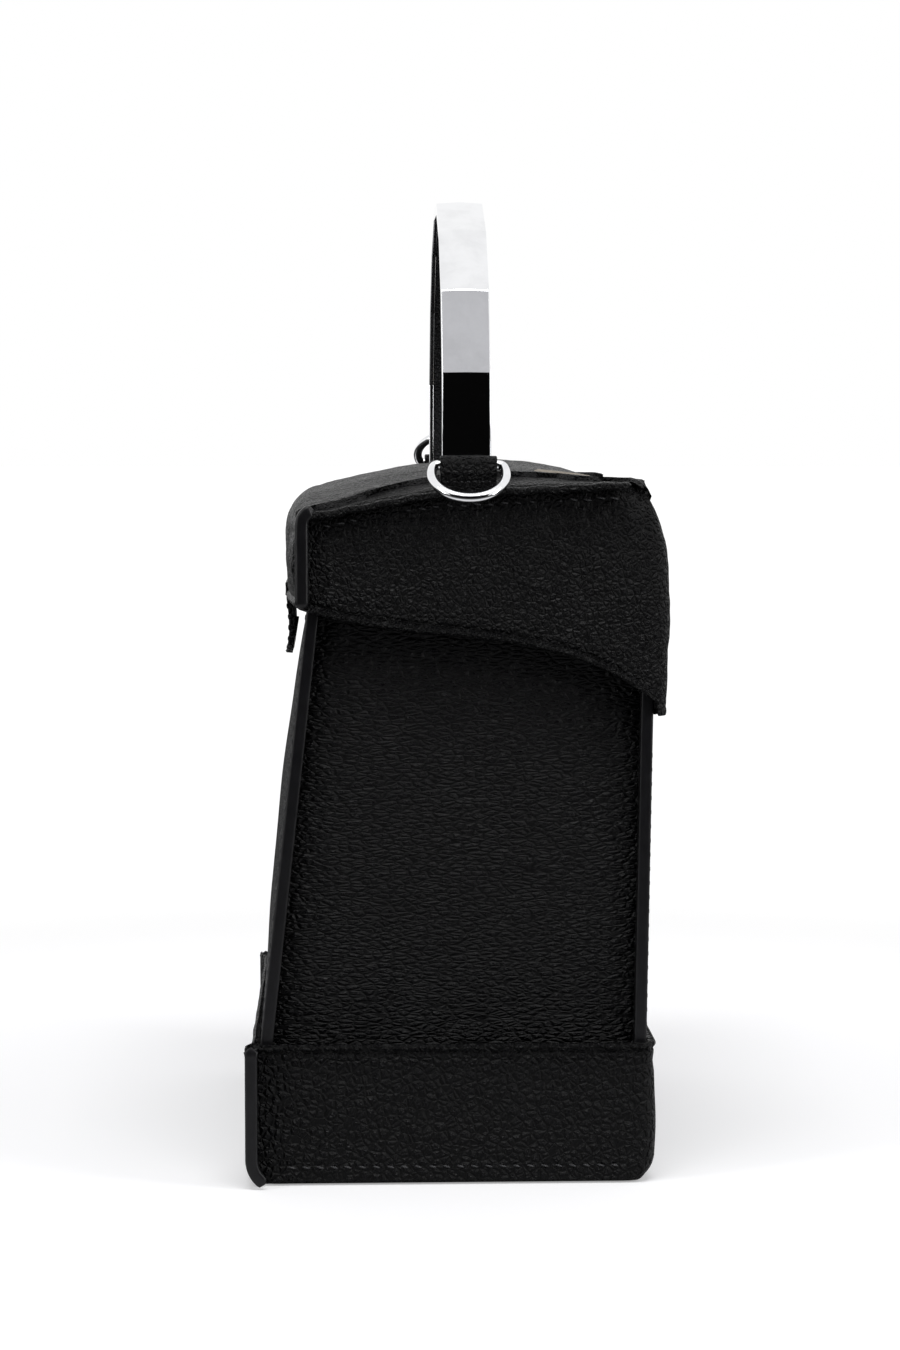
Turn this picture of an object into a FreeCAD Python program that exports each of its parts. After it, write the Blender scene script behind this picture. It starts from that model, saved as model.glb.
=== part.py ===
"""Structured leather handbag: leaning box body, base band, hinged hood lid and a faceted arch handle.

Millimetres. +X runs along the bag's length, +Y is the back, +Z is up. The origin is on the
underside of the base, in the plane of the handle and the two D-rings.
"""
import FreeCAD, Part
import math
import os

Vec = FreeCAD.Vector

# Leather, board and cloth
LEATHER = 1.8                # shell leather, turned and backed
BOARD = 1.2                  # stiffener boards of the walls
CLOTH = 0.8                  # lining cloth
GAP = 0.3                    # air between pieces that move or pass each other

# Body: a box whose front leans back
BODY_HALF_LENGTH = 74.0      # to the cut edges of the corner fins
FIN_DEPTH = 4.0              # how far a corner fin stands out past the gusset
RIM_HEIGHT = 168.0           # mouth of the body
FRONT_AT_FLOOR = -63.9       # where the leaning front meets the floor
FRONT_LEAN = 0.110           # the front's run towards the back per unit of height
BACK_AT_FLOOR = 51.0
BACK_LEAN = 0.0157
FACING_HEIGHT = 14.0         # leather facing inside the mouth
POCKET_WIDTH = 110.0
POCKET_HEIGHT = 80.0
POCKET_DROP = 30.0           # from the mouth to the pocket's edge

# Base: a band and a bottom panel round the foot of the body
BAND_HEIGHT = 41.0
BAND_CORNER = 4.5            # radius of the back corners
BAND_ROOM = 0.6              # air between the body's back and the band
BAND_FIN = 4.0
BASE_ROLL = 6.0              # radius where the front turns under
BOTTOM_INSET = 2.5           # the bottom panel's edge from the band's face
BASE_BOARD = 2.4

# Hood: side walls, bulged front, domed top
SIDE_CLEARANCE = 1.2         # body fin to the inside of the hood and the band
HOOD_FRONT = -48.9           # outer face of the front at its ends
HOOD_FRONT_BULGE = 6.0       # more at mid-length
HOOD_BACK = 57.0
HOOD_CORNER = 5.5
HOOD_FIN = 3.6
SEAM_FRONT = (-44.0, 193.0)  # the top seam: front end, bend and back end, as (y, z)
SEAM_BEND = (-10.0, 199.0)
SEAM_BACK = (46.0, 201.8)
SEAM_FIN_HEIGHT = 2.6
DOME = 8.0                   # rise of the top at mid-length over its ends
CREST = (8.0, 207.2)         # highest point of the mid-length profile
ROLL_START = 186.0           # height where the front starts to roll into the top
HEM_FRONT = 166.0            # lower edge of the front
HEM_BACK = 134.9             # lower edge of the back, at the hinge line
HEM_BOW = 7.0                # strength of the slanting hem's slight S curve
LID_BOARD = 2.0
LID_BOARD_LENGTH = 146.0
LID_BOARD_WIDTH = 72.0
HOOD_LINING_RISE = 3.0       # the hood lining starts this far above the mouth

# Hinge strip: two leaves folded at the hem
LEAF = 0.7
LEAF_HEIGHT = 22.0
LEAF_LENGTH = 136.0

# Closure tab
TAB_WIDTH = 34.0
TAB_LEATHER = 2.2
TAB_LENGTH = 17.2
TAB_WAIST = 11.0             # from the hem down to where the tab is nearest the body
TAB_WAIST_Y = -49.6          # inner face there
TAB_TIP_Y = -50.6            # inner face at the tip
MAGNET_RADIUS = 5.0
MAGNET = 1.1
MAGNET_RISE = 5.5            # magnet centre above the tip

# Handle: an arch of a regular polygon's facets
HANDLE_SIDES = 16
HANDLE_SPAN = 131.0          # outside, over the two upright facets
HANDLE_TOP = 285.0
HANDLE_WIDTH = 13.9
HANDLE_THICKNESS = 3.8
HANDLE_RIDGE = 0.45          # rise of each facet's middle line over its edges
INLAY_WIDTH = 10.6
INLAY_DEPTH = 1.2
STUD_RADIUS = 1.0
STUD_SPACING = 7.6
STUD_SEAT = 5.0              # thread length inside the leg
STUD_TAIL = 0.8              # thread showing past the nut
NUT_RADIUS = 2.3
NUT_HEIGHT = 1.6
PLATE = (12.0, 18.0, 1.2)    # clamp plate under the board: x, y, z

# D-rings and their loops
WIRE_RADIUS = 1.35
RING_RADIUS = 10.4           # wire's middle line
RING_OFFSET = 4.3            # from the bar to the middle of the arc
RING_CORNER = 1.6
LOOP_WIDTH = 16.0
LOOP_LEATHER = 1.25
LOOP_FIT = 0.05              # radial running clearance on the bar
LOOP_OUTSET = 1.6            # bar outside the hood's side wall
LOOP_RISE = 6.8              # bar above the top seam
RIGHT_RING_ANGLE = -38.0     # below the horizontal
RING_REST_GAP = 0.3          # left ring to the handle leg it leans on

# Sizes that follow
GUSSET_X = BODY_HALF_LENGTH - FIN_DEPTH
SIDE_X = BODY_HALF_LENGTH + SIDE_CLEARANCE + LEATHER
BOTTOM = LEATHER
BODY_FLOOR = BOTTOM + BASE_BOARD + GAP
INNER_WALL = LEATHER + BOARD
BAR_X = SIDE_X + LOOP_OUTSET
HANDLE_APOTHEM = HANDLE_SPAN / 2
HANDLE_MID = HANDLE_TOP - HANDLE_APOTHEM
LEG_X = HANDLE_APOTHEM - HANDLE_THICKNESS / 2
STUD_X = HANDLE_APOTHEM - (HANDLE_THICKNESS - INLAY_DEPTH) / 2


def body_front(z):
    """Outer face of the leaning front at height z."""
    return FRONT_AT_FLOOR + FRONT_LEAN * z


def body_back(z):
    """Outer face of the back at height z."""
    return BACK_AT_FLOOR + BACK_LEAN * z


BAND_FRONT = body_front(0.0) + 0.2
BAND_BACK = body_back(BAND_HEIGHT) + BAND_ROOM + LEATHER
FOOT_FRONT = BAND_FRONT + LEATHER + GAP
BEND_HEIGHT = (FOOT_FRONT - FRONT_AT_FLOOR) / FRONT_LEAN
HINGE_Y = (body_back(HEM_BACK) + HOOD_BACK - LEATHER) / 2


def seam_height(y):
    """Height of the top seam along the side wall, as two straight runs."""
    start, end = (SEAM_FRONT, SEAM_BEND) if y < SEAM_BEND[0] else (SEAM_BEND, SEAM_BACK)
    slope = (end[1] - start[1]) / (end[0] - start[0])
    return start[1] + slope * (y - start[0])


BAR_Z = seam_height(0.0) + LOOP_RISE


def side_polygon(points, half, middle=0.0):
    """Prism of a (y, z) outline, running from middle - half to middle + half along X."""
    wire = Part.makePolygon([Vec(middle - half, y, z) for y, z in points + points[:1]])
    return Part.Face(wire).extrude(Vec(2 * half, 0, 0))


def box(low, high):
    """Box between two corners."""
    size = [b - a for a, b in zip(low, high)]
    return Part.makeBox(*size, Vec(*low))


def inset(face, distance):
    """The face drawn in by a distance along its whole outline."""
    return face if distance == 0 else face.makeOffset2D(-distance)


def mirrored(shape):
    """The shape's twin at the other end of the bag."""
    return shape.mirror(Vec(0, 0, 0), Vec(1, 0, 0))


# Body

def body_block(wall, floor, half, top=RIM_HEIGHT):
    """Solid filling the body's outline, drawn in by wall at front and back and by floor below."""
    base = BODY_FLOOR + floor
    outline = [(FOOT_FRONT + wall, base), (FOOT_FRONT + wall, BEND_HEIGHT),
               (body_front(top) + wall, top), (body_back(top) - wall, top),
               (body_back(base) - wall, base)]
    return side_polygon(outline, half)


def front_panel():
    """Front leather: the front layer of the body over its full width."""
    whole = body_block(0, 0, BODY_HALF_LENGTH)
    kept = box((-BODY_HALF_LENGTH, FRONT_AT_FLOOR - 1, 0), (BODY_HALF_LENGTH, 0, RIM_HEIGHT))
    return whole.cut(body_block(LEATHER, -1, BODY_HALF_LENGTH + 1)).common(kept)


def back_panel():
    """Back leather over the full width."""
    whole = body_block(0, 0, BODY_HALF_LENGTH)
    kept = box((-BODY_HALF_LENGTH, 0, 0), (BODY_HALF_LENGTH, HOOD_BACK, RIM_HEIGHT))
    return whole.cut(body_block(LEATHER, -1, BODY_HALF_LENGTH + 1)).common(kept)


def gusset():
    """Right end panel: a web set in by the fin's depth, its flanges folded out along the fins."""
    fill = body_block(LEATHER, 0, BODY_HALF_LENGTH)
    tray = body_block(2 * LEATHER, -1, BODY_HALF_LENGTH + 1)
    inner = box((GUSSET_X - LEATHER, FRONT_AT_FLOOR, 0), (BODY_HALF_LENGTH, HOOD_BACK, RIM_HEIGHT))
    hollow = tray.common(box((GUSSET_X, FRONT_AT_FLOOR, 0),
                             (BODY_HALF_LENGTH + 1, HOOD_BACK, RIM_HEIGHT + 1)))
    return fill.common(inner).cut(hollow)


def wall_boards():
    """Front, back and right stiffener boards between the leather and the lining."""
    inside = GUSSET_X - LEATHER
    layer = body_block(LEATHER, 0, inside).cut(body_block(INNER_WALL, -1, inside - BOARD, RIM_HEIGHT + 1))
    front = layer.common(box((-inside + BOARD, FRONT_AT_FLOOR, 0), (inside - BOARD, 0, RIM_HEIGHT)))
    back = layer.common(box((-inside + BOARD, 0, 0), (inside - BOARD, HOOD_BACK, RIM_HEIGHT)))
    right = layer.common(box((inside - BOARD, FRONT_AT_FLOOR, 0), (inside, HOOD_BACK, RIM_HEIGHT)))
    return front, back, right


def body_lining():
    """Cloth lining: an open box that ends under the mouth facing."""
    top = RIM_HEIGHT - FACING_HEIGHT
    half = GUSSET_X - INNER_WALL
    outer = body_block(INNER_WALL, 0, half, top)
    hollow = body_block(INNER_WALL + CLOTH, CLOTH, half - CLOTH, top + 1)
    return outer.cut(hollow)


def mouth_facing():
    """Leather facing round the inside of the mouth, standing on the lining's edge."""
    half = GUSSET_X - INNER_WALL
    ring = body_block(INNER_WALL, 0, half).cut(body_block(INNER_WALL + LEATHER, -1, half - LEATHER,
                                                          RIM_HEIGHT + 1))
    low = RIM_HEIGHT - FACING_HEIGHT
    return ring.common(box((-half, FRONT_AT_FLOOR, low), (half, HOOD_BACK, RIM_HEIGHT)))


def slip_pocket():
    """Flat cloth pocket on the back lining."""
    top = RIM_HEIGHT - POCKET_DROP
    inner = INNER_WALL + CLOTH
    layer = body_block(inner, 0, POCKET_WIDTH / 2).cut(body_block(inner + CLOTH, -1, POCKET_WIDTH,
                                                                  RIM_HEIGHT + 1))
    return layer.common(box((-POCKET_WIDTH / 2, 0, top - POCKET_HEIGHT),
                            (POCKET_WIDTH / 2, HOOD_BACK, top)))


# Base

def band_outline(half, front, back, corner):
    """Plan outline of the band: square at the front, rounded at the back corners."""
    block = box((-half, front, 0), (half, back, 1))
    rounds = [e for e in block.Edges
              if e.BoundBox.ZLength > 0.5 and e.BoundBox.YMin > (front + back) / 2]
    return block.makeFillet(corner, rounds)


def band_block(draw, low, high):
    """The band's plan drawn in by a distance, between two heights."""
    slab = band_outline(SIDE_X - draw, BAND_FRONT + draw, BAND_BACK - draw, BAND_CORNER - draw)
    foot = [f for f in slab.Faces if f.BoundBox.ZMax < 0.01][0]
    foot.translate(Vec(0, 0, low))
    return foot.extrude(Vec(0, 0, high - low))


def base_front():
    """Front leather of the base with its two corner fins; its foot is rounded under."""
    half = SIDE_X + BAND_FIN
    plate = box((-half, BAND_FRONT, BOTTOM), (half, BAND_FRONT + LEATHER, BAND_HEIGHT))
    corners = [e for e in plate.Edges if e.BoundBox.YLength > LEATHER / 2 and e.BoundBox.ZMax < BOTTOM + 0.1]
    return plate.makeFillet(BASE_ROLL, corners)


def base_wrap():
    """Side and back leather of the base in one strip, its front edges folded out as fins."""
    ring = band_block(0, BOTTOM, BAND_HEIGHT).cut(band_block(LEATHER, 0, BAND_HEIGHT + 1))
    strip = ring.cut(box((-SIDE_X, BAND_FRONT, 0), (SIDE_X, BAND_FRONT + LEATHER, BAND_HEIGHT)))
    low = (SIDE_X, BAND_FRONT + LEATHER, BOTTOM + BASE_ROLL)
    fin = box(low, (SIDE_X + BAND_FIN, BAND_FRONT + 2 * LEATHER, BAND_HEIGHT))
    return strip.fuse([fin, mirrored(fin)]).removeSplitter()


# Hood

def hood_profile():
    """Mid-length outline: upright front, rolled edge, arched top, rounded back."""
    front = HOOD_FRONT - HOOD_FRONT_BULGE
    low = HEM_BACK - 10
    shoulder = Vec(0, SEAM_FRONT[0] - 1.5, SEAM_FRONT[1] + 5.2)
    crest = Vec(0, *CREST)
    rear = Vec(0, SEAM_BACK[0] + 2.0, SEAM_BACK[1] + 0.8)
    points = [Vec(0, front, low), Vec(0, front, ROLL_START)]
    roll = Vec(0, front + 2.6, ROLL_START + 7.6)
    back_top = Vec(0, HOOD_BACK, SEAM_BACK[1] - 24)
    back_roll = Vec(0, HOOD_BACK - 2.6, SEAM_BACK[1] - 9.5)
    corner = Vec(0, HOOD_BACK, low)
    edges = [Part.LineSegment(points[0], points[1]).toShape(),
             Part.Arc(points[1], roll, shoulder).toShape(),
             Part.Arc(shoulder, crest, rear).toShape(),
             Part.Arc(rear, back_roll, back_top).toShape(),
             Part.LineSegment(back_top, corner).toShape(),
             Part.LineSegment(corner, points[0]).toShape()]
    return Part.Face(Part.Wire(edges))


def hood_plan():
    """Plan outline: bowed front, straight sides, rounded back corners."""
    ends = [Vec(SIDE_X, HOOD_FRONT, 0), Vec(-SIDE_X, HOOD_FRONT, 0)]
    bow = Part.Arc(ends[1], Vec(0, HOOD_FRONT - HOOD_FRONT_BULGE, 0), ends[0]).toShape()
    turn = HOOD_BACK - HOOD_CORNER
    diagonal = HOOD_CORNER * math.sqrt(0.5)
    edges = [bow]
    for side in (1, -1):
        centre = Vec(side * (SIDE_X - HOOD_CORNER), turn, 0)
        wall = Vec(side * SIDE_X, turn, 0)
        back = Vec(centre.x, HOOD_BACK, 0)
        middle = centre + Vec(side * diagonal, diagonal, 0)
        edges.append(Part.LineSegment(Vec(side * SIDE_X, HOOD_FRONT, 0), wall).toShape())
        edges.append(Part.Arc(wall, middle, back).toShape())
    edges.append(Part.LineSegment(Vec(SIDE_X - HOOD_CORNER, HOOD_BACK, 0),
                                  Vec(HOOD_CORNER - SIDE_X, HOOD_BACK, 0)).toShape())
    return Part.Face(Part.Wire(Part.__sortEdges__(edges)))


def dome(start, end):
    """Solid under the domed top whose end edge runs through two points (y, z) of the seam."""
    reach = 200.0
    slope = (end[1] - start[1]) / (end[0] - start[0])
    y = start[0] - reach
    z = start[1] - slope * reach
    left, right = Vec(-SIDE_X, y, z), Vec(SIDE_X, y, z)
    arc = Part.Arc(left, Vec(0, y, z + DOME), right).toShape()
    feet = [Vec(SIDE_X, y, z - 2 * reach), Vec(-SIDE_X, y, z - 2 * reach)]
    lines = Part.makePolygon([right] + feet + [left])
    return Part.Face(Part.Wire([arc] + lines.Edges)).extrude(Vec(0, 2 * reach, 2 * reach * slope))


def hood_block(wall, top):
    """Solid inside the hood's skin, drawn in by wall all round and by top under the dome."""
    profile = inset(hood_profile(), wall)
    half = SIDE_X - wall
    profile.translate(Vec(-half, 0, 0))
    solid = profile.extrude(Vec(2 * half, 0, 0))
    lowered = solid.copy()
    lowered.translate(Vec(0, 0, wall - top))
    plan = inset(hood_plan(), wall)
    solid = solid.common(lowered).common(plan.extrude(Vec(0, 0, 2 * HANDLE_TOP)))
    for start, end in ((SEAM_FRONT, SEAM_BEND), (SEAM_BEND, SEAM_BACK)):
        under = dome(start, end)
        under.translate(Vec(0, 0, -top))
        solid = solid.common(under)
    return solid


def hem_height(share):
    """Height of the hem a share of the way back: dips under its chord first, then rises over it."""
    chord = HEM_FRONT + share * (HEM_BACK - HEM_FRONT)
    return chord + HEM_BOW * math.sin(math.pi * share) * (2 * share - 0.6)


def below_hem(rise=0.0):
    """Everything under the hood's slanting lower edge."""
    steps = 6
    front, back = HOOD_FRONT, HINGE_Y
    hem = [(front + share * (back - front), hem_height(share) + rise)
           for share in [step / steps for step in range(steps + 1)]]
    far = 40.0
    start = (front - far, HEM_FRONT + rise)
    end = (back + far, HEM_BACK + rise)
    floor = [(end[0], 0.0), (start[0], 0.0)]
    return side_polygon([start] + hem + [end] + floor, 2 * SIDE_X)


def seam_fin():
    """Right top seam fin: a narrow ledge along the top of the side wall."""
    points = [SEAM_FRONT, SEAM_BEND, SEAM_BACK]
    lower = [(y, z - SEAM_FIN_HEIGHT) for y, z in reversed(points)]
    return side_polygon(points + lower, (HOOD_FIN + LEATHER) / 2, SIDE_X - LEATHER + (HOOD_FIN + LEATHER) / 2)


def front_fin():
    """Right front corner fin: two layers of leather standing out past the side wall."""
    low = (SIDE_X - LEATHER, HOOD_FRONT, HEM_FRONT)
    fin = box(low, (SIDE_X + HOOD_FIN, HOOD_FRONT + 2 * LEATHER, SEAM_FRONT[1]))
    return fin.cut(hood_block(LEATHER, LEATHER))


def leg_slot(side, clearance):
    """Straight hole through the lid for one handle leg."""
    half_x = HANDLE_THICKNESS / 2 + clearance
    half_y = HANDLE_WIDTH / 2 + clearance
    return box((side * LEG_X - half_x, -half_y, HEM_FRONT), (side * LEG_X + half_x, half_y, HANDLE_TOP))


def hood_cover():
    """Hood leather in one cut piece: front, top, back and both side walls, with the seam fins."""
    shell = hood_block(0, 0).cut(hood_block(LEATHER, LEATHER))
    fins = [seam_fin(), front_fin()]
    shell = shell.fuse(fins + [mirrored(fin) for fin in fins]).cut(below_hem())
    for side in (1, -1):
        shell = shell.cut(leg_slot(side, GAP))
    return shell.removeSplitter()


def lid_board():
    """Domed stiffener under the top leather, drilled for the handle's studs."""
    low_z = SEAM_FRONT[1] - 8
    layer = hood_block(LEATHER, LEATHER).cut(hood_block(LEATHER, LEATHER + LID_BOARD))
    board = layer.common(box((-LID_BOARD_LENGTH / 2, -LID_BOARD_WIDTH / 2, low_z),
                             (LID_BOARD_LENGTH / 2, LID_BOARD_WIDTH / 2, HANDLE_TOP)))
    return board.cut(Part.makeCompound([stud_cylinder(x, y, 0, HANDLE_TOP, GAP / 2) for x, y in STUDS]))


def hood_lining():
    """Cloth lining of the hood above the body's mouth, cut away round the clamp plates."""
    low = RIM_HEIGHT + HOOD_LINING_RISE
    top = LEATHER + LID_BOARD
    layer = hood_block(LEATHER, top).cut(hood_block(LEATHER + CLOTH, top + CLOTH))
    cloth = layer.common(box((-SIDE_X, HOOD_FRONT - HOOD_FRONT_BULGE, low), (SIDE_X, HOOD_BACK, HANDLE_TOP)))
    for side in (1, -1):
        half_x = PLATE[0] / 2 + GAP
        half_y = PLATE[1] / 2 + GAP
        cloth = cloth.cut(box((side * LEG_X - half_x, -half_y, low + 5),
                              (side * LEG_X + half_x, half_y, HANDLE_TOP)))
    return cloth


def hinge_leaf(face, direction):
    """One leaf of the hinge strip: from its glued face towards the fold line."""
    low = HEM_BACK + 2 * GAP
    near, far = sorted((face, face + direction * LEAF))
    return box((-LEAF_LENGTH / 2, near, low), (LEAF_LENGTH / 2, far, low + LEAF_HEIGHT))


def body_leaf():
    """Body side of the hinge strip, lying on the leaning back panel."""
    low = HEM_BACK + 2 * GAP
    high = low + LEAF_HEIGHT
    outline = [(body_back(low), low), (body_back(high), high),
               (body_back(high) + LEAF, high), (body_back(low) + LEAF, low)]
    return side_polygon(outline, LEAF_LENGTH / 2)


# Closure tab

def closure_tab():
    """Tab that hangs from the front hem, waisted towards the body, with a pocket for its magnet."""
    tip = HEM_FRONT - TAB_LENGTH
    root = HEM_FRONT - GAP
    waist = HEM_FRONT - TAB_WAIST
    root_y = HOOD_FRONT - HOOD_FRONT_BULGE + LEATHER + TAB_LEATHER
    inner = [(root_y, root), (TAB_WAIST_Y, waist), (TAB_TIP_Y, tip)]
    outer = [(y - TAB_LEATHER, z) for y, z in reversed(inner)]
    return side_polygon(inner + outer, TAB_WIDTH / 2).cut(tab_magnet())


def tab_magnet():
    """Flat magnet set flush in the tab's inner face, near its tip."""
    centre = HEM_FRONT - TAB_LENGTH + MAGNET_RISE
    lean = (TAB_WAIST_Y - TAB_TIP_Y) / (TAB_LENGTH - TAB_WAIST)
    face = TAB_TIP_Y + lean * MAGNET_RISE
    normal = Vec(0, -1, lean).normalize()
    return Part.makeCylinder(MAGNET_RADIUS, MAGNET, Vec(0, face, centre), normal)


def tab_root():
    """Sewn end of the tab on the inside of the hood's front."""
    face = HOOD_FRONT - HOOD_FRONT_BULGE + LEATHER
    low, high = HEM_FRONT + GAP, RIM_HEIGHT + HOOD_LINING_RISE - GAP
    root = box((-TAB_WIDTH / 2, face - 1, low), (TAB_WIDTH / 2, face + TAB_LEATHER, high))
    return root.common(hood_block(LEATHER, LEATHER))


def body_magnet():
    """Magnet behind the front leather, let into the front board."""
    centre = HEM_FRONT - TAB_LENGTH + MAGNET_RISE
    normal = Vec(0, 1, -FRONT_LEAN).normalize()
    start = body_front(centre) + LEATHER
    return Part.makeCylinder(MAGNET_RADIUS, MAGNET, Vec(0, start, centre), normal)


# Handle

STUDS = [(side * STUD_X, half * STUD_SPACING / 2) for side in (1, -1) for half in (1, -1)]


def lid_top(x, y=0.0):
    """Height of the lid's top leather."""
    radius = (SIDE_X ** 2 + DOME ** 2) / (2 * DOME)
    rise = math.sqrt(radius ** 2 - x ** 2) - (radius - DOME)
    return seam_height(y) + rise


LEG_FOOT = lid_top(HANDLE_APOTHEM - HANDLE_THICKNESS, HANDLE_WIDTH / 2) - LEATHER


def arch_points(apothem, foot):
    """Corners of the arch at an apothem: foot, polygon corners over the top, foot."""
    half_step = math.pi / HANDLE_SIDES
    radius = apothem / math.cos(half_step)
    angles = [half_step * (2 * i + 1) for i in range(HANDLE_SIDES // 2)]
    corners = [(radius * math.cos(a), HANDLE_MID + radius * math.sin(a)) for a in angles]
    return [(apothem, foot)] + corners + [(-apothem, foot)]


def arch_wire(outer, inner, y, foot):
    """Closed outline of the arch band at one place across its width."""
    points = arch_points(outer, foot) + list(reversed(arch_points(inner, foot)))
    return Part.makePolygon([Vec(x, y, z) for x, z in points + points[:1]])


def handle_band():
    """Chrome band: faceted outside with a low ridge along each facet, grooved inside."""
    inner = HANDLE_APOTHEM - HANDLE_THICKNESS
    half = HANDLE_WIDTH / 2
    ridge = [arch_wire(HANDLE_APOTHEM - drop, inner, y, LEG_FOOT)
             for drop, y in ((HANDLE_RIDGE, -half), (0.0, 0.0), (HANDLE_RIDGE, half))]
    band = Part.makeLoft(ridge, True, True)
    groove = handle_inlay()
    threads = [stud_cylinder(x, y, LEG_FOOT, LEG_FOOT + STUD_SEAT, 0) for x, y in STUDS]
    return band.cut(groove).cut(Part.makeCompound(threads))


def handle_inlay():
    """Leather strip set in the groove on the inside of the band."""
    inner = HANDLE_APOTHEM - HANDLE_THICKNESS
    foot = lid_top(inner) + GAP
    wire = arch_wire(inner + INLAY_DEPTH, inner, -INLAY_WIDTH / 2, foot)
    return Part.Face(wire).extrude(Vec(0, INLAY_WIDTH, 0))


def stud_cylinder(x, y, low, high, clearance):
    """Upright cylinder of the stud's radius plus a clearance."""
    return Part.makeCylinder(STUD_RADIUS + clearance, high - low, Vec(x, y, low))


def handle_hardware():
    """Clamp plates, threaded studs and nuts that hold the two legs to the lid board."""
    plates, studs, nuts = [], [], []
    board_face = lid_top(LEG_X + PLATE[0] / 2, -PLATE[1] / 2) - LEATHER - LID_BOARD
    under = board_face - PLATE[2]
    below_board = hood_block(LEATHER, LEATHER + LID_BOARD)
    for side in (1, -1):
        low = (side * LEG_X - PLATE[0] / 2, -PLATE[1] / 2, under)
        plates.append(box(low, (low[0] + PLATE[0], -low[1], lid_top(0))).common(below_board))
    for x, y in STUDS:
        bottom = under - NUT_HEIGHT - STUD_TAIL
        studs.append(stud_cylinder(x, y, bottom, LEG_FOOT + STUD_SEAT, 0))
        nuts.append(hexagon(x, y, under - NUT_HEIGHT, under).cut(
            stud_cylinder(x, y, bottom, LEG_FOOT, 0)))
    holes = Part.makeCompound([stud_cylinder(x, y, 0, HANDLE_TOP, GAP / 2) for x, y in STUDS])
    plates = [plate.cut(holes) for plate in plates]
    return Part.makeCompound(plates), Part.makeCompound(studs), Part.makeCompound(nuts)


def hexagon(x, y, low, high):
    """Hexagonal nut blank."""
    corners = [Vec(x + NUT_RADIUS * math.cos(math.pi * k / 3), y + NUT_RADIUS * math.sin(math.pi * k / 3), low)
               for k in range(7)]
    return Part.Face(Part.makePolygon(corners)).extrude(Vec(0, 0, high - low))


# D-rings

def ring_wire():
    """Middle line of a D-ring lying flat: bar on the Y axis, arc towards +X, corners rounded."""
    corner_y = math.sqrt((RING_RADIUS - RING_CORNER) ** 2 - (RING_OFFSET - RING_CORNER) ** 2)
    centre = Vec(RING_OFFSET, 0, 0)
    edges = []
    touch = {}
    for side in (1, -1):
        middle = Vec(RING_CORNER, side * corner_y, 0)
        on_bar = Vec(0, side * corner_y, 0)
        outward = (middle - centre).normalize()
        on_arc = middle + outward * RING_CORNER
        halfway = middle + ((on_bar - middle).normalize() + outward).normalize() * RING_CORNER
        edges.append(Part.Arc(on_bar, halfway, on_arc).toShape())
        touch[side] = (on_bar, on_arc)
    edges.append(Part.LineSegment(touch[1][0], touch[-1][0]).toShape())
    edges.append(Part.Arc(touch[1][1], centre + Vec(RING_RADIUS, 0, 0), touch[-1][1]).toShape())
    return Part.Wire(Part.__sortEdges__(edges))


def d_ring(angle):
    """Right D-ring, its arc turned up from the horizontal by an angle in degrees."""
    path = ring_wire()
    start = path.Vertexes[0].Point
    tangent = path.Edges[0].tangentAt(path.Edges[0].FirstParameter)
    section = Part.Wire(Part.makeCircle(WIRE_RADIUS, start, tangent))
    ring = path.makePipeShell([section], True, True)
    ring.rotate(Vec(0, 0, 0), Vec(0, 1, 0), -angle)
    ring.translate(Vec(BAR_X, 0, BAR_Z))
    return ring


def resting_angle():
    """Angle at which a D-ring, turned inwards, leans on the handle's leg."""
    reach = RING_OFFSET + RING_RADIUS
    room = BAR_X - HANDLE_APOTHEM - RING_REST_GAP - WIRE_RADIUS
    return math.degrees(math.acos(-room / reach))


def ring_loop():
    """Right leather loop: folded round the ring's bar, its ends sewn into the top seam."""
    inner = WIRE_RADIUS + LOOP_FIT
    outer = inner + LOOP_LEATHER
    start = Vec(BAR_X, -LOOP_WIDTH / 2, BAR_Z)
    tube = Part.makeCylinder(outer, LOOP_WIDTH, start, Vec(0, 1, 0))
    tail = box((BAR_X - LOOP_LEATHER, -LOOP_WIDTH / 2, seam_height(0) - SEAM_FIN_HEIGHT / 2),
               (BAR_X + LOOP_LEATHER, LOOP_WIDTH / 2, BAR_Z))
    hole = Part.makeCylinder(inner, LOOP_WIDTH + 2, start - Vec(0, 1, 0), Vec(0, 1, 0))
    return tube.fuse(tail).removeSplitter().cut(hole).cut(hood_block(0, 0)).cut(seam_fin())


def build():
    """Every piece by name."""
    front_board, back_board, right_board = wall_boards()
    plates, studs, nuts = handle_hardware()
    cover = hood_cover()
    leaf_low = HOOD_BACK - LEATHER
    return {
        "front_panel": front_panel(),
        "back_panel": back_panel(),
        "gusset_right": gusset(),
        "gusset_left": mirrored(gusset()),
        "front_board": front_board.cut(body_magnet()),
        "back_board": back_board,
        "gusset_board_right": right_board,
        "gusset_board_left": mirrored(right_board),
        "body_lining": body_lining(),
        "mouth_facing": mouth_facing(),
        "slip_pocket": slip_pocket(),
        "body_magnet": body_magnet(),
        "base_front": base_front(),
        "base_wrap": base_wrap(),
        "bottom_panel": band_block(BOTTOM_INSET, 0, BOTTOM),
        "base_board": band_block(LEATHER + GAP, BOTTOM, BOTTOM + BASE_BOARD),
        "hinge_leaf_body": body_leaf(),
        "hinge_leaf_hood": hinge_leaf(leaf_low, -1),
        "hood_cover": cover,
        "lid_board": lid_board(),
        "hood_lining": hood_lining(),
        "tab_root": tab_root(),
        "closure_tab": closure_tab(),
        "tab_magnet": tab_magnet(),
        "handle_band": handle_band(),
        "handle_inlay": handle_inlay(),
        "clamp_plates": plates,
        "handle_studs": studs,
        "stud_nuts": nuts,
        "ring_loop_right": ring_loop(),
        "ring_loop_left": mirrored(ring_loop()),
        "d_ring_right": d_ring(RIGHT_RING_ANGLE),
        "d_ring_left": mirrored(d_ring(resting_angle())),
    }


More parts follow.
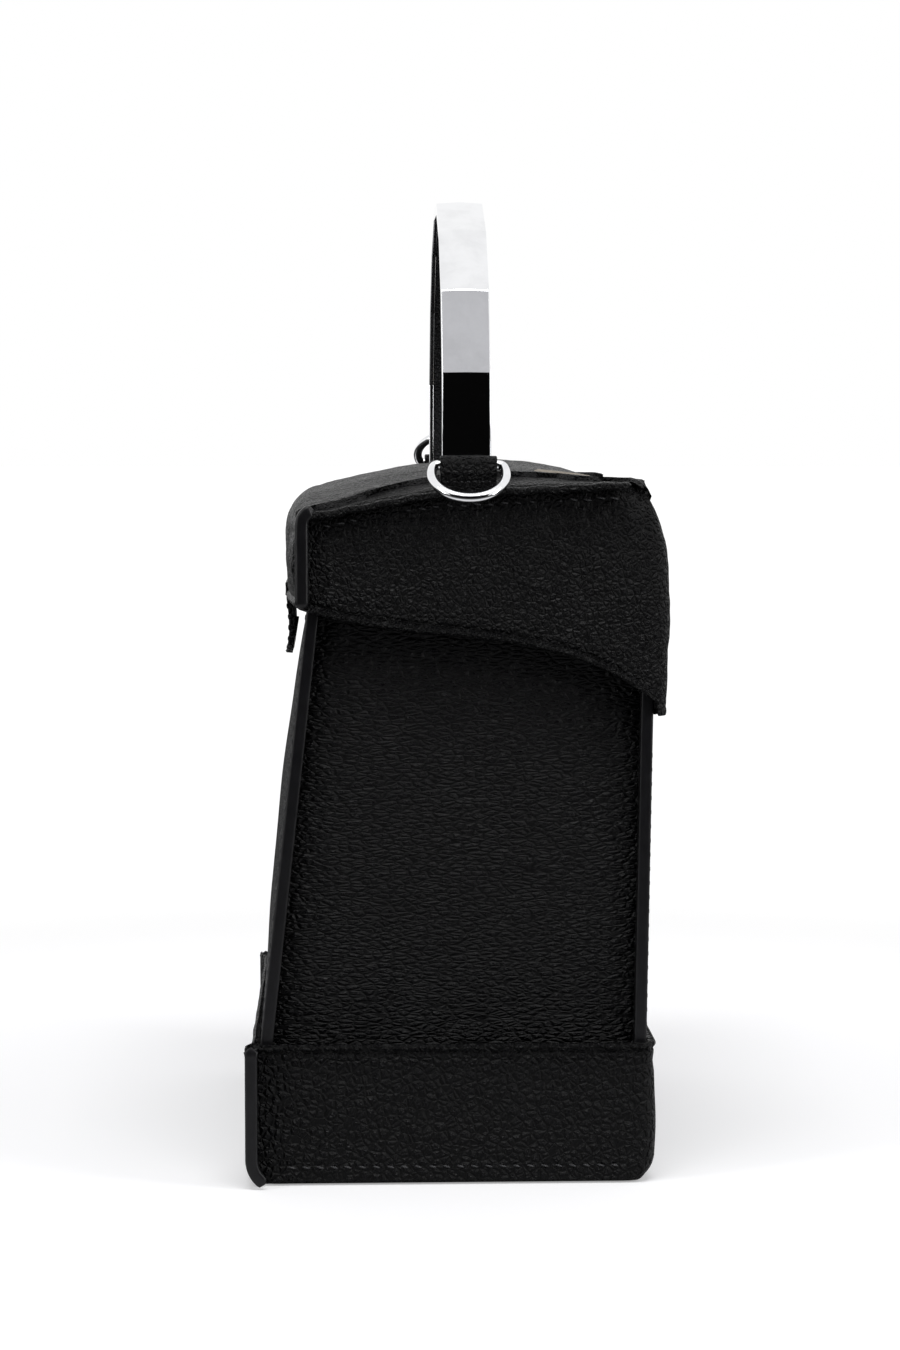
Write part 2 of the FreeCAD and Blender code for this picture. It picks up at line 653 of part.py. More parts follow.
os.makedirs("parts", exist_ok=True)
for name, shape in build().items():
    shape.exportStep("parts/" + name + ".step")
    print(name, len(shape.Solids), "solid(s)", round(shape.Volume), "mm3", "valid" if shape.isValid() else "BAD")
print("hinge line y %.3f z %.3f, D-ring bar x %.3f z %.3f, left ring at %.2f degrees"
      % (HINGE_Y, HEM_BACK, BAR_X, BAR_Z, resting_angle()))
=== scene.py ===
"""Looks of the structured leather handbag: body, base tray, hinged hood, tab, arch handle and D-rings.

Lengths are millimetres until a mesh is made; the frame and every object are metres.
"""
from __future__ import annotations
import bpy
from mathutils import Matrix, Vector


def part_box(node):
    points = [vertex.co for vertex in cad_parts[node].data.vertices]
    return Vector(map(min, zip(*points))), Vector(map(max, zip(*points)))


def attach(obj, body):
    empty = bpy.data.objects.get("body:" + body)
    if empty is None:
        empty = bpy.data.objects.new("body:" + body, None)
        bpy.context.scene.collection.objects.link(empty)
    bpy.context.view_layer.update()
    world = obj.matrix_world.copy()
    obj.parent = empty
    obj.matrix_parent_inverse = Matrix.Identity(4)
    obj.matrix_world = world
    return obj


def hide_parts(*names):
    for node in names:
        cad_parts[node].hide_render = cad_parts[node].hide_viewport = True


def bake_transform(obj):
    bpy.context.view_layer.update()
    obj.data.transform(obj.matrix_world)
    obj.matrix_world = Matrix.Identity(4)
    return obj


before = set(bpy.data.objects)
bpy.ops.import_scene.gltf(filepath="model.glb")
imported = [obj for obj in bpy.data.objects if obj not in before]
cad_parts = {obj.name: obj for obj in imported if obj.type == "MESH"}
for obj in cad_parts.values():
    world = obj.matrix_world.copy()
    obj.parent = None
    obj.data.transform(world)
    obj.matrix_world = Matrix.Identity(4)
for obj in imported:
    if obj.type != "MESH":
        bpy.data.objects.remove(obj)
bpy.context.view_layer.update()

import logging
import math
from dataclasses import dataclass, field
from enum import Enum
from typing import Any, Mapping, Sequence

import bmesh
import bpy
import numpy as np

LOG = logging.getLogger("handbag")
MM = 0.001
HANGING = -38.0    # degrees above the horizontal, outwards, of the right D-ring
LEANING = 141.16   # the left D-ring, turned inwards onto the handle's leg
Array = np.ndarray


class Side(Enum):
    """The two ends of the bag, with the sign of X there."""

    RIGHT = 1
    LEFT = -1


class Body(Enum):
    """The bodies that pieces ride on."""

    BAG = "bag"
    HOOD = "hood"
    TAB = "closure_tab"
    RING_RIGHT = "d_ring_right"
    RING_LEFT = "d_ring_left"


# Shader maths


class Sock:
    """A socket that can be used in a Python expression; each operator adds one Math node."""

    def __init__(self, shader: "Shader", socket: bpy.types.NodeSocket) -> None:
        """Keep the material's builder and the socket."""
        self.shader = shader
        self.socket = socket

    def _math(self, operation: str, first: Any, second: Any = 0.0) -> "Sock":
        """Add a Math node.

        Args:
            operation: the node's operation.
            first: first value or socket.
            second: second value or socket.
        Returns:
            The node's value.
        """
        node = self.shader.node("ShaderNodeMath", {"operation": operation}, {0: first, 1: second})
        return Sock(self.shader, node.outputs[0])

    def __add__(self, other: Any) -> "Sock":
        """Sum."""
        return self._math("ADD", self, other)

    __radd__ = __add__

    def __mul__(self, other: Any) -> "Sock":
        """Product."""
        return self._math("MULTIPLY", self, other)

    __rmul__ = __mul__

    def __sub__(self, other: Any) -> "Sock":
        """Difference."""
        return self._math("SUBTRACT", self, other)

    def __rsub__(self, other: Any) -> "Sock":
        """Reflected difference."""
        return self._math("SUBTRACT", other, self)

    def at_most(self, limit: float) -> "Sock":
        """The smaller of the value and the limit."""
        return self._math("MINIMUM", self, limit)

    def step(self, low: float, high: float) -> "Sock":
        """Smooth step from 0 at low to 1 at high."""
        node = self.shader.node("ShaderNodeMapRange", {"interpolation_type": "SMOOTHSTEP"},
                                {0: self, 1: low, 2: high, 3: 0.0, 4: 1.0})
        return Sock(self.shader, node.outputs[0])


class Shader:
    """Builds the nodes of one material, or of the world."""

    def __init__(self, owner: bpy.types.Material | bpy.types.World) -> None:
        """Take over the owner's node tree and empty it.

        Args:
            owner: the material or the world.
        """
        owner.use_nodes = True
        self.owner = owner
        self.tree = owner.node_tree
        self.tree.nodes.clear()

    def node(self, kind: str, settings: Mapping[str, Any] | None = None,
             values: Mapping[Any, Any] | None = None) -> bpy.types.Node:
        """Add a node.

        Args:
            kind: the node's type.
            settings: its properties, and "stops" for a ramp; these are set first.
            values: numbers, colours or links, by socket name or index.
        Returns:
            The node.
        """
        node = self.tree.nodes.new(kind)
        for key, value in (settings or {}).items():
            if key == "stops":
                ramp = node.color_ramp
                while len(ramp.elements) < len(value):
                    ramp.elements.new(0.5)
                for element, (place, colour) in zip(ramp.elements, value):
                    element.position, element.color = place, colour
            else:
                setattr(node, key, value)
        for key, value in (values or {}).items():
            if isinstance(value, Sock):
                self.tree.links.new(value.socket, node.inputs[key])
            else:
                node.inputs[key].default_value = value
        return node

    def place(self, scale: Sequence[float] = (1, 1, 1), turn: Sequence[float] = (0, 0, 0)) -> Sock:
        """Object coordinates, scaled and turned.

        Args:
            scale: factor along each axis.
            turn: angle about each axis, in radians.
        Returns:
            The coordinates.
        """
        source = self.node("ShaderNodeTexCoord")
        node = self.node("ShaderNodeMapping", None, {"Vector": Sock(self, source.outputs["Object"]),
                                                     "Scale": tuple(scale), "Rotation": tuple(turn)})
        return Sock(self, node.outputs[0])

    def noise(self, at: Sock, scale: float, detail: float = 3.0, rough: float = 0.5) -> Sock:
        """Fractal noise, 0 to 1."""
        node = self.node("ShaderNodeTexNoise", None, {"Vector": at, "Scale": scale, "Detail": detail,
                                                      "Roughness": rough})
        return Sock(self, node.outputs[0])

    def warp(self, at: Sock, scale: float, amount: float) -> Sock:
        """Push coordinates about by coloured noise.

        Args:
            at: the coordinates.
            scale: of the noise.
            amount: furthest push, in metres.
        Returns:
            The pushed coordinates.
        """
        noise = self.node("ShaderNodeTexNoise", None, {"Vector": at, "Scale": scale, "Detail": 2.0})
        node = self.node("ShaderNodeVectorMath", {"operation": "MULTIPLY_ADD"},
                         {0: Sock(self, noise.outputs["Color"]), 1: (amount,) * 3, 2: at})
        return Sock(self, node.outputs[0])

    def cells(self, at: Sock, scale: float, feature: str = "DISTANCE_TO_EDGE") -> Sock:
        """Voronoi distance."""
        node = self.node("ShaderNodeTexVoronoi", {"feature": feature}, {"Vector": at, "Scale": scale})
        return Sock(self, node.outputs["Distance"])

    def mix(self, factor: Sock, low: Sequence[float], high: Sequence[float]) -> Sock:
        """Mix two colours."""
        node = self.node("ShaderNodeMix", {"data_type": "RGBA"},
                         {0: factor, 6: (*low, 1.0), 7: (*high, 1.0)})
        return Sock(self, node.outputs[2])

    def bump(self, height: Sock, distance: float, strength: float = 1.0) -> Sock:
        """Normal from a height that runs over distance metres."""
        node = self.node("ShaderNodeBump", None,
                         {"Height": height, "Distance": distance, "Strength": strength})
        return Sock(self, node.outputs[0])

    def finish(self, values: Mapping[str, Any]) -> bpy.types.Material:
        """Close the material with a Principled surface.

        Args:
            values: numbers, colours or links of the surface, by socket name.
        Returns:
            The material.
        """
        surface = self.node("ShaderNodeBsdfPrincipled", None, values)
        output = self.node("ShaderNodeOutputMaterial")
        self.tree.links.new(surface.outputs[0], output.inputs[0])
        return self.owner


# Finishes


@dataclass(frozen=True)
class Leather:
    """Black grained leather: pebble cells parted by fine creases, with soft wrinkles under them."""

    name: str
    cell: float = 1.9                          # mm across
    stretch: tuple[float, float, float] = (1.0, 1.0, 1.0)
    crease: float = 0.5                        # share of the height that the creases take
    wrinkle: float = 0.5                       # share of the broad wrinkles
    depth: float = 0.0013
    # dark is the colour of the creases, darkened as painted shade; light is the colour of the cell tops
    dark: tuple[float, float, float] = (0.0006, 0.0006, 0.0008)
    light: tuple[float, float, float] = (0.0020, 0.0019, 0.0026)
    gloss: tuple[float, float] = (0.25, 0.50)  # roughness on the cells and in the creases
    specular: float = 0.13

    def build(self) -> bpy.types.Material:
        """The material.

        Returns:
            The finished material.
        """
        s = Shader(bpy.data.materials.new(self.name))
        at = s.place(self.stretch)
        bent = s.warp(at, 260.0, 0.0011)
        big = s.cells(bent, 1000.0 / self.cell)
        small = s.cells(s.warp(at, 700.0, 0.0005), 2100.0 / self.cell)
        pebble = big.step(0.0, 0.30) * (0.65 + small.step(0.0, 0.3) * 0.35)
        folds = s.noise(s.warp(at, 90.0, 0.006), 170.0, 4.0, 0.62)
        pores = s.noise(at, 2600.0, 2.0)
        height = pebble * self.crease + folds * self.wrinkle + pores * 0.05
        tone = s.noise(at, 45.0, 3.0)
        # Painted shade: the pebble mask makes the creases darker than the cell tops; the tone noise is the
        # leather's own uneven colour.
        colour = s.mix((pebble * 0.75 + tone * 0.25).step(0.1, 0.9), self.dark, self.light)
        rough = self.gloss[1] - pebble * (self.gloss[1] - self.gloss[0]) + (tone - 0.5) * 0.12
        return s.finish({"Base Color": colour, "Roughness": rough, "Specular IOR Level": self.specular,
                         "Normal": s.bump(height, self.depth, 1.0)})


@dataclass(frozen=True)
class EdgePaint:
    """Satin black paint on the cut edges of two layers of leather."""

    name: str
    colour: tuple[float, float, float] = (0.005, 0.0049, 0.006)

    def build(self) -> bpy.types.Material:
        """The material: slight ripples of the brush.

        Returns:
            The finished material.
        """
        s = Shader(bpy.data.materials.new(self.name))
        at = s.place()
        ripple = s.noise(s.place((1.0, 1.0, 0.35)), 620.0, 3.0)
        colour = s.mix(ripple.step(0.25, 0.75), (0.003, 0.0029, 0.0036), self.colour)
        rough = 0.30 + s.noise(at, 300.0, 2.0) * 0.16
        return s.finish({"Base Color": colour, "Roughness": rough, "Specular IOR Level": 0.3,
                         "Normal": s.bump(ripple, 0.0002, 0.5)})


@dataclass(frozen=True)
class Thread:
    """Twisted black sewing thread."""

    name: str

    def build(self) -> bpy.types.Material:
        """The material: fine slanting strands.

        Returns:
            The finished material.
        """
        s = Shader(bpy.data.materials.new(self.name))
        at = s.place((1.0, 1.0, 1.0), (0.5, 0.4, 0.3))
        wave = s.node("ShaderNodeTexWave", {"bands_direction": "DIAGONAL"},
                      {"Vector": at, "Scale": 900.0, "Distortion": 1.0})
        strand = Sock(s, wave.outputs["Fac"])
        colour = s.mix(strand, (0.006, 0.006, 0.007), (0.03, 0.03, 0.034))
        return s.finish({"Base Color": colour, "Roughness": 0.62 - strand * 0.12,
                         "Normal": s.bump(strand, 0.0001, 0.8)})


@dataclass(frozen=True)
class Metal:
    """Plated or plain metal with faint smudges."""

    name: str
    colour: tuple[float, float, float]
    rough: tuple[float, float]
    ripple: float = 0.0

    def build(self) -> bpy.types.Material:
        """The material: smudges vary the gloss, and ripples the surface where there are any.

        Returns:
            The finished material.
        """
        s = Shader(bpy.data.materials.new(self.name))
        at = s.place()
        smudge = s.noise(s.warp(at, 60.0, 0.01), 110.0, 4.0, 0.6).step(0.35, 0.75)
        worn = tuple(0.9 * c for c in self.colour)
        values: dict[str, Any] = {"Base Color": s.mix(smudge, self.colour, worn), "Metallic": 1.0,
                                  "Roughness": self.rough[0] + smudge * (self.rough[1] - self.rough[0])}
        if self.ripple:
            values["Normal"] = s.bump(s.noise(at, 900.0, 3.0), self.ripple, 0.6)
        return s.finish(values)


@dataclass(frozen=True)
class Woven:
    """Black lining cloth in a plain weave."""

    name: str
    thread: float = 0.45                      # mm

    def build(self) -> bpy.types.Material:
        """The material: crossed waves make the weave, and noise the slubs.

        Returns:
            The finished material.
        """
        s = Shader(bpy.data.materials.new(self.name))
        at = s.warp(s.place(), 240.0, 0.0004)
        scale = 1000.0 / self.thread / math.tau
        waves = []
        for direction in ("X", "Z", "Y"):
            node = s.node("ShaderNodeTexWave", {"bands_direction": direction},
                          {"Vector": at, "Scale": scale, "Distortion": 0.4})
            waves.append(Sock(s, node.outputs["Fac"]))
        weave = (waves[0] + waves[1] + waves[2]) * 0.3333
        slub = s.noise(s.place((1.0, 1.0, 0.2)), 500.0, 3.0)
        colour = s.mix((weave * 0.7 + slub * 0.3).step(0.2, 0.8), (0.010, 0.010, 0.012),
                       (0.042, 0.041, 0.046))
        return s.finish({"Base Color": colour, "Roughness": 0.72 + slub * 0.18,
                         "Sheen Weight": 0.15, "Normal": s.bump(weave, 0.00018, 0.8)})


@dataclass(frozen=True)
class Fibreboard:
    """Grey-brown stiffener board with flecks."""

    name: str

    def build(self) -> bpy.types.Material:
        """The material: fibres of two scales and darker flecks.

        Returns:
            The finished material.
        """
        s = Shader(bpy.data.materials.new(self.name))
        fibre = s.noise(s.warp(s.place((1.0, 1.0, 0.3)), 300.0, 0.002), 900.0, 4.0, 0.65)
        fleck = s.cells(s.place(), 420.0, "F1").step(0.1, 0.4)
        colour = s.mix((fibre * 0.7 + fleck * 0.3).step(0.2, 0.8), (0.10, 0.085, 0.07), (0.26, 0.23, 0.19))
        return s.finish({"Base Color": colour, "Roughness": 0.8 + fibre * 0.15,
                         "Normal": s.bump(fibre, 0.0002, 0.6)})


class Finishes:
    """Every material, built once."""

    def __init__(self) -> None:
        """Build the materials."""
        self.body = Leather("pebbled_leather", 1.9, crease=0.6, wrinkle=0.45).build()
        self.hood = Leather("hood_leather", 1.7, crease=0.5, wrinkle=0.9, depth=0.0020,
                            gloss=(0.22, 0.46)).build()
        self.gusset = Leather("creased_leather", 1.6, stretch=(1.0, 0.45, 1.25), crease=0.7,
                              wrinkle=0.7, depth=0.0017, gloss=(0.24, 0.48)).build()
        self.base = Leather("base_leather", 2.3, crease=0.9, wrinkle=0.45, depth=0.0017,
                            gloss=(0.27, 0.52)).build()
        self.inlay = Leather("inlay_leather", 1.2, crease=0.8, wrinkle=0.3,
                             dark=(0.012, 0.012, 0.013), light=(0.03, 0.03, 0.033)).build()
        self.edge = EdgePaint("edge_paint").build()
        self.thread = Thread("sewing_thread").build()
        self.chrome = Metal("bright_chrome", (0.90, 0.905, 0.92), (0.04, 0.09)).build()
        self.steel = Metal("zinc_plated_steel", (0.55, 0.56, 0.58), (0.28, 0.45), 0.00006).build()
        self.magnet = Metal("nickel_plated_magnet", (0.62, 0.60, 0.57), (0.18, 0.3), 0.00003).build()
        self.lining = Woven("woven_lining").build()
        self.board = Fibreboard("stiffener_fibreboard").build()


# Mesh making


def quads(rows: int, cols: int, ring: bool = False, start: int = 0) -> Array:
    """Faces of a grid of points stored row by row.

    Args:
        rows: number of rows.
        cols: points in a row.
        ring: whether each row closes on itself.
        start: index of the grid's first point.
    Returns:
        One face of four indices for each cell.
    """
    i, j = np.meshgrid(np.arange(rows - 1), np.arange(cols if ring else cols - 1), indexing="ij")
    k = (j + 1) % cols
    faces = np.stack([i * cols + j, i * cols + k, (i + 1) * cols + k, (i + 1) * cols + j], -1)
    return faces.reshape(-1, 4) + start


def outward(points: Array, faces: Array) -> Array:
    """Turn all faces round if the closed mesh's signed volume is below zero.

    Args:
        points: of the mesh.
        faces: four indices each.
    Returns:
        The faces, turned or as they were.
    """
    a, b, c, d = (points[faces[:, k]] for k in range(4))
    volume = np.einsum("ij,ij->i", a, np.cross(b, c)).sum() + np.einsum("ij,ij->i", a, np.cross(c, d)).sum()
    return faces[:, ::-1] if volume < 0 else faces


def grid_normals(grid: Array) -> Array:
    """Unit normals of a grid of points: the cross product of its two central differences.

    Args:
        grid: points by row and column.
    Returns:
        A unit vector for each point.
    """
    normal = np.cross(np.gradient(grid, axis=0), np.gradient(grid, axis=1))
    length = np.linalg.norm(normal, axis=-1, keepdims=True)
    return normal / np.maximum(length, 1e-9)


def slab(outer: Array, thickness: float, away: Sequence[float]) -> tuple[Array, Array]:
    """Closed sheet: the outer grid, a copy set back along the normals, and the four rims.

    Args:
        outer: grid of points of the outer face.
        thickness: of the sheet.
        away: rough direction that the outer face looks.
    Returns:
        Points and faces.
    """
    normal = grid_normals(outer)
    if (normal * np.asarray(away)).sum() < 0:
        normal = -normal
    rows, cols = outer.shape[:2]
    points = np.concatenate([outer.reshape(-1, 3), (outer - normal * thickness).reshape(-1, 3)])
    top = quads(rows, cols)
    index = np.arange(rows * cols).reshape(rows, cols)
    rim = np.concatenate([index[0], index[1:, -1], index[-1, -2::-1], index[-2:0:-1, 0]])
    after = np.roll(rim, -1)
    size = rows * cols
    wall = np.stack([rim, after, after + size, rim + size], -1)
    faces = np.concatenate([top, top[:, ::-1] + size, wall[:, ::-1]])
    return points, outward(points, faces)


def sweep(path: Array, across: Array, up: Array, section: Array, closed: bool = False,
          taper: float = 0.0) -> tuple[Array, Array]:
    """Solid strip: each path point carries the section, as across * first + up * second.

    Args:
        path: points of the path.
        across: direction of the section's first coordinate at each path point.
        up: direction of its second coordinate.
        section: closed outline, the same for every point or one for each.
        closed: whether the path is a loop.
        taper: length over which each open end rounds off to a point, along an ellipse.
    Returns:
        Points and faces.
    """
    section = np.broadcast_to(section, (len(path),) + section.shape[-2:])
    if taper:
        run = np.r_[0, np.cumsum(np.linalg.norm(np.diff(path, axis=0), axis=1))]
        near = np.clip(np.minimum(run, run[-1] - run) / taper, 0, 1)
        section = section * np.maximum(np.sqrt(1 - (1 - near) ** 2), 0.02)[:, None, None]
    grid = (path[:, None] + across[:, None] * section[..., :1] + up[:, None] * section[..., 1:])
    rows, cols = grid.shape[:2]
    points = grid.reshape(-1, 3)
    faces = quads(rows, cols, True)
    if closed:
        last = quads(2, cols, True)
        faces = np.concatenate([faces, np.where(last >= cols, last - cols, last + (rows - 1) * cols)])
    else:
        middle = np.arange(cols)
        mates = (-middle) % cols
        for row, turn in ((0, 1), (rows - 1, -1)):
            half = cols // 2
            k = np.arange(half - 1) + 1
            first = np.stack([k - 1, k, mates[k], mates[k - 1]], -1)[:, ::turn]
            faces = np.concatenate([faces, first + row * cols])
            tip = np.array([[half - 1, half, mates[half - 1], mates[half - 1]]])[:, ::turn]
            faces = np.concatenate([faces, tip + row * cols])
    return points, outward(points, faces)


def oval(width: float, height: float, power: float = 2.0, count: int = 16) -> Array:
    """Superellipse outline |x/a|^p + |y/b|^p = 1, which nears a rounded rectangle as the power grows.

    Args:
        width: along the first coordinate.
        height: along the second coordinate.
        power: p, which is 2 for an ellipse.
        count: number of points.
    Returns:
        The outline.
    """
    angle = np.linspace(0, 2 * np.pi, count, endpoint=False)
    c, s = np.cos(angle), np.sin(angle)
    return np.stack([np.sign(c) * np.abs(c) ** (2 / power) * width / 2,
                     np.sign(s) * np.abs(s) ** (2 / power) * height / 2], -1)


def ridged(shape: Array, seed: int, size: float, amount: float) -> Array:
    """Soft uneven offset: a sum of eight plane waves with seeded directions and phases.

    Args:
        shape: points.
        seed: of the waves.
        size: typical wavelength, in millimetres.
        amount: scale of the offset.
    Returns:
        The offset at each point.
    """
    rng = np.random.default_rng(seed)
    total = np.zeros(shape.shape[:-1])
    for _ in range(8):
        wave = rng.normal(size=3) * 2 * np.pi / size
        total += np.sin(shape @ wave + rng.uniform(0, 6.3))
    return amount * total / 4.0


@dataclass
class Maker:
    """Makes pieces: puts points and faces into a mesh, dresses it, and hands it to its body."""

    finishes: Finishes
    made: list[str] = field(default_factory=list)

    def piece(self, name: str, parts: Sequence[tuple[Array, Array]], material: bpy.types.Material,
              body: Body | None, slot: str, replaces: Sequence[str] = (), bevel: float = 0.0,
              sharp: float = 50.0, merge: bool = False) -> bpy.types.Object:
        """Make one object.

        Args:
            name: of the piece.
            parts: points in millimetres and faces, joined into one mesh.
            material: its finish.
            body: what it rides on, or none where it will blend.
            slot: the record's material slot; not used.
            replaces: CAD nodes that it stands for.
            bevel: width of a bevel on edges sharper than the sharp angle.
            sharp: angle in degrees past which an edge stays sharp.
            merge: whether coincident points are merged.
        Returns:
            The object.
        """
        points, faces, start = [], [], 0
        for part_points, part_faces in parts:
            points.append(part_points)
            faces.append(part_faces + start)
            start += len(part_points)
        mesh = bpy.data.meshes.new(name)
        joined = np.concatenate(faces)
        polygons = [tuple(dict.fromkeys(face)) for face in joined.tolist()]
        mesh.from_pydata((np.concatenate(points) * MM).tolist(), [], [p for p in polygons if len(p) > 2])
        if merge:
            work = bmesh.new()
            work.from_mesh(mesh)
            bmesh.ops.remove_doubles(work, verts=work.verts, dist=2e-6)
            work.to_mesh(mesh)
            work.free()
        mesh.validate()
        mesh.shade_smooth()
        mesh.set_sharp_from_angle(angle=math.radians(sharp))
        mesh.materials.append(material)
        obj = bpy.data.objects.new(name, mesh)
        bpy.context.scene.collection.objects.link(obj)
        if bevel:
            mod = obj.modifiers.new("rounded_edges", "BEVEL")
            mod.width, mod.segments, mod.limit_method = bevel * MM, 3, "ANGLE"
            mod.angle_limit = math.radians(sharp)
            mod.harden_normals = True
        if body is not None:
            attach(obj, body.value)
        if replaces:
            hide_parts(*replaces)
        self.made.append(name)
        LOG.info("%s: %d points", name, start)
        return obj

    def stitches(self, path: Array, normal: Array, pitch: float = 3.9, length: float = 2.5,
                 width: float = 0.55) -> tuple[Array, Array]:
        """A row of stitches: one small oval bar for each pitch of the path, half sunk in the leather.

        Args:
            path: points of the row.
            normal: outward direction at each point.
            pitch: from stitch to stitch.
            length: of a stitch.
            width: of the thread.
        Returns:
            Points and faces.
        """
        run = np.r_[0, np.cumsum(np.linalg.norm(np.diff(path, axis=0), axis=1))]
        count = max(int(run[-1] // pitch), 1)
        at = (np.arange(count) + 0.5) * run[-1] / count
        sample = np.stack([np.interp(at, run, path[:, k]) for k in range(3)], -1)
        ahead = np.stack([np.interp(at + 0.4, run, path[:, k]) - np.interp(at - 0.4, run, path[:, k])
                          for k in range(3)], -1)
        ahead /= np.linalg.norm(ahead, axis=1, keepdims=True)
        out = np.stack([np.interp(at, run, normal[:, k]) for k in range(3)], -1)
        side = np.cross(ahead, out)
        stations = np.array([-1.0, -0.8, -0.35, 0.35, 0.8, 1.0])
        swell = np.array([0.12, 0.7, 1.0, 1.0, 0.7, 0.12])
        dip = np.array([-0.5, -0.15, 0.12, 0.12, -0.15, -0.5]) * width
        ring = oval(width, width * 0.8, 2.0, 6)
        slant = 0.12 * stations * length
        grid = (sample[:, None, None] + ahead[:, None, None] * (stations * length / 2)[None, :, None, None]
                + side[:, None, None] * (swell[:, None] * ring[:, 0] + slant[:, None])[None, ..., None]
                + out[:, None, None] * (swell[:, None] * ring[:, 1] + dip[:, None])[None, ..., None])
        size = len(stations) * 6
        one = quads(len(stations), 6, True)
        caps = np.array([[0, 1, 2, 5], [2, 3, 4, 5], [size - 6, size - 1, size - 4, size - 5],
                         [size - 4, size - 1, size - 2, size - 3]])
        one = np.concatenate([one, caps])
        faces = (one[None] + (np.arange(count) * size)[:, None, None]).reshape(-1, 4)
        points = grid.reshape(-1, 3)
        return points, outward(points, faces)


# Sub-assemblies


def body_front(z: Array) -> Array:
    """The body's front outer face: it leans back by 0.110 of the height."""
    return np.maximum(-63.9 + 0.110 * z, -61.6)


def body_back(z: Array) -> Array:
    """The body's back outer face: it leans out by 0.0157 of the height."""
    return 51.0 + 0.0157 * z


@dataclass
class BodyShell:
    """The leaning body: front and back panels, pillowed gussets and painted corner fins."""

    maker: Maker
    half: float = 74.0                # to the fins' cut edges
    web: float = 70.3                 # gusset beside the fins
    swell: float = 2.2                # gusset's rise over its edges
    foot: float = 4.6
    rim: float = 168.0
    leather: float = 1.8
    bulge: float = 2.3                # of the front at mid-length

    def panels(self) -> None:
        """Front and back sheets; the bulge is a parabola along the length times a sine up the height."""
        x = np.linspace(-self.half, self.half, 75)
        z = np.linspace(self.foot, self.rim, 71)
        grid_z, grid_x = np.meshgrid(z, x, indexing="ij")
        length_share = np.clip(1 - (grid_x / 69.0) ** 2, 0, 1)
        height_share = np.sin(np.pi * np.clip((grid_z - 41) / 122, 0, 1)) ** 0.7
        puff = self.bulge * length_share ** 0.7 * height_share
        flat = np.stack([grid_x, body_front(grid_z), grid_z], -1)
        flat[..., 1] -= puff + length_share * height_share * ridged(flat, 4, 60, 0.3)
        front = slab(flat, self.leather, (0, -1, 0))
        rear = np.stack([grid_x, body_back(grid_z), grid_z], -1)
        rear_share = length_share ** 0.7 * np.sin(np.pi * np.clip((grid_z - 41) / 80, 0, 1))
        rear[..., 1] += rear_share * (0.9 + ridged(rear, 5, 70, 0.25))
        back = slab(rear, self.leather, (0, 1, 0))
        leather = self.maker.finishes.body
        self.maker.piece("body_front_leather", [front], leather, Body.BAG, "black_leather", ["front_panel"],
                         0.4)
        self.maker.piece("body_back_leather", [back], leather, Body.BAG, "black_leather", ["back_panel"], 0.4)

    def gusset(self, side: Side) -> None:
        """End panel: a pillow x = web + swell * (1 - |s|^7), its edges folded out along the fins.

        Args:
            side: end of the bag.
        """
        z = np.linspace(self.foot, self.rim, 80)
        s = np.sin(np.linspace(-np.pi / 2, np.pi / 2, 61))
        fold = np.array([1.0, 0.55, 0.15])
        low = body_front(z) + 2 * self.leather
        high = body_back(z) - 2 * self.leather
        middle, reach = (low + high) / 2, (high - low) / 2
        y = middle[:, None] + reach[:, None] * s[None]
        top = np.clip((self.rim - z) / 12, 0, 1)[:, None] ** 0.5
        x = self.web + self.swell * (1 - np.abs(s[None]) ** 7) * (0.4 + 0.6 * top)
        web = np.stack([x, y, np.broadcast_to(z[:, None], y.shape)], -1)
        web[..., 0] += ridged(web, 11, 45, 0.28) * (1 - np.abs(s[None]) ** 4)
        ends = []
        for edge, sign in ((low, 1.0), (high, -1.0)):
            line = np.stack([self.web + (self.half - 0.15 - self.web) * fold[None] + 0 * z[:, None],
                             edge[:, None] + sign * 0.02 * (fold[None] - 1), np.broadcast_to(z[:, None],
                                                                                             (len(z),
                                                                                              3))], -1)
            ends.append(line if sign > 0 else line[:, ::-1])
        grid = np.concatenate([ends[0], web, ends[1]], 1)
        points, faces = slab(grid, 1.6, (1, 0, 0))
        points = points * np.array([side.value, 1, 1])
        word = side.name.lower()
        self.maker.piece(f"gusset_leather_{word}", [(points, outward(points, faces))],
                         self.maker.finishes.gusset,
                         Body.BAG, "black_leather", [f"gusset_{word}"], 0.0, 60)

    def fins(self) -> None:
        """Painted edges: rounded beads over the two layers at each corner."""
        z = np.linspace(36.0, self.rim - 0.2, 60)
        section = oval(1.3, 3.5, 3.2, 20)
        parts = []
        for side in Side:
            for line, inward in ((body_front(z), 1.0), (body_back(z), -1.0)):
                path = np.stack([np.full_like(z, side.value * (self.half - 0.1)),
                                 line + inward * self.leather, z], -1)
                across = np.tile([side.value, 0.0, 0.0], (len(z), 1))
                up = np.tile([0.0, 1.0, 0.0], (len(z), 1))
                parts.append(sweep(path, across, up, section, taper=1.2))
        self.maker.piece("body_fin_edges", parts, self.maker.finishes.edge, Body.BAG, "black_leather")

    def seams(self) -> None:
        """Stitches along the front's and back's side seams, just inside the fins."""
        z = np.linspace(43.5, self.rim - 3, 50)
        rows = []
        for side in Side:
            x = np.full_like(z, side.value * (self.half - 2.2))
            out = np.tile([0.0, -1.0, 0.11], (len(z), 1))
            rows.append(self.maker.stitches(np.stack([x, body_front(z), z], -1), out))
            low = z < 126
            rows.append(self.maker.stitches(np.stack([x, body_back(z), z], -1)[low], -out[low] * [1, 1, 0]))
        self.maker.piece("body_stitches", rows, self.maker.finishes.thread, Body.BAG, "black_leather")

    def build(self) -> None:
        """Every piece of the body shell."""
        self.panels()
        for side in Side:
            self.gusset(side)
        self.fins()
        self.seams()


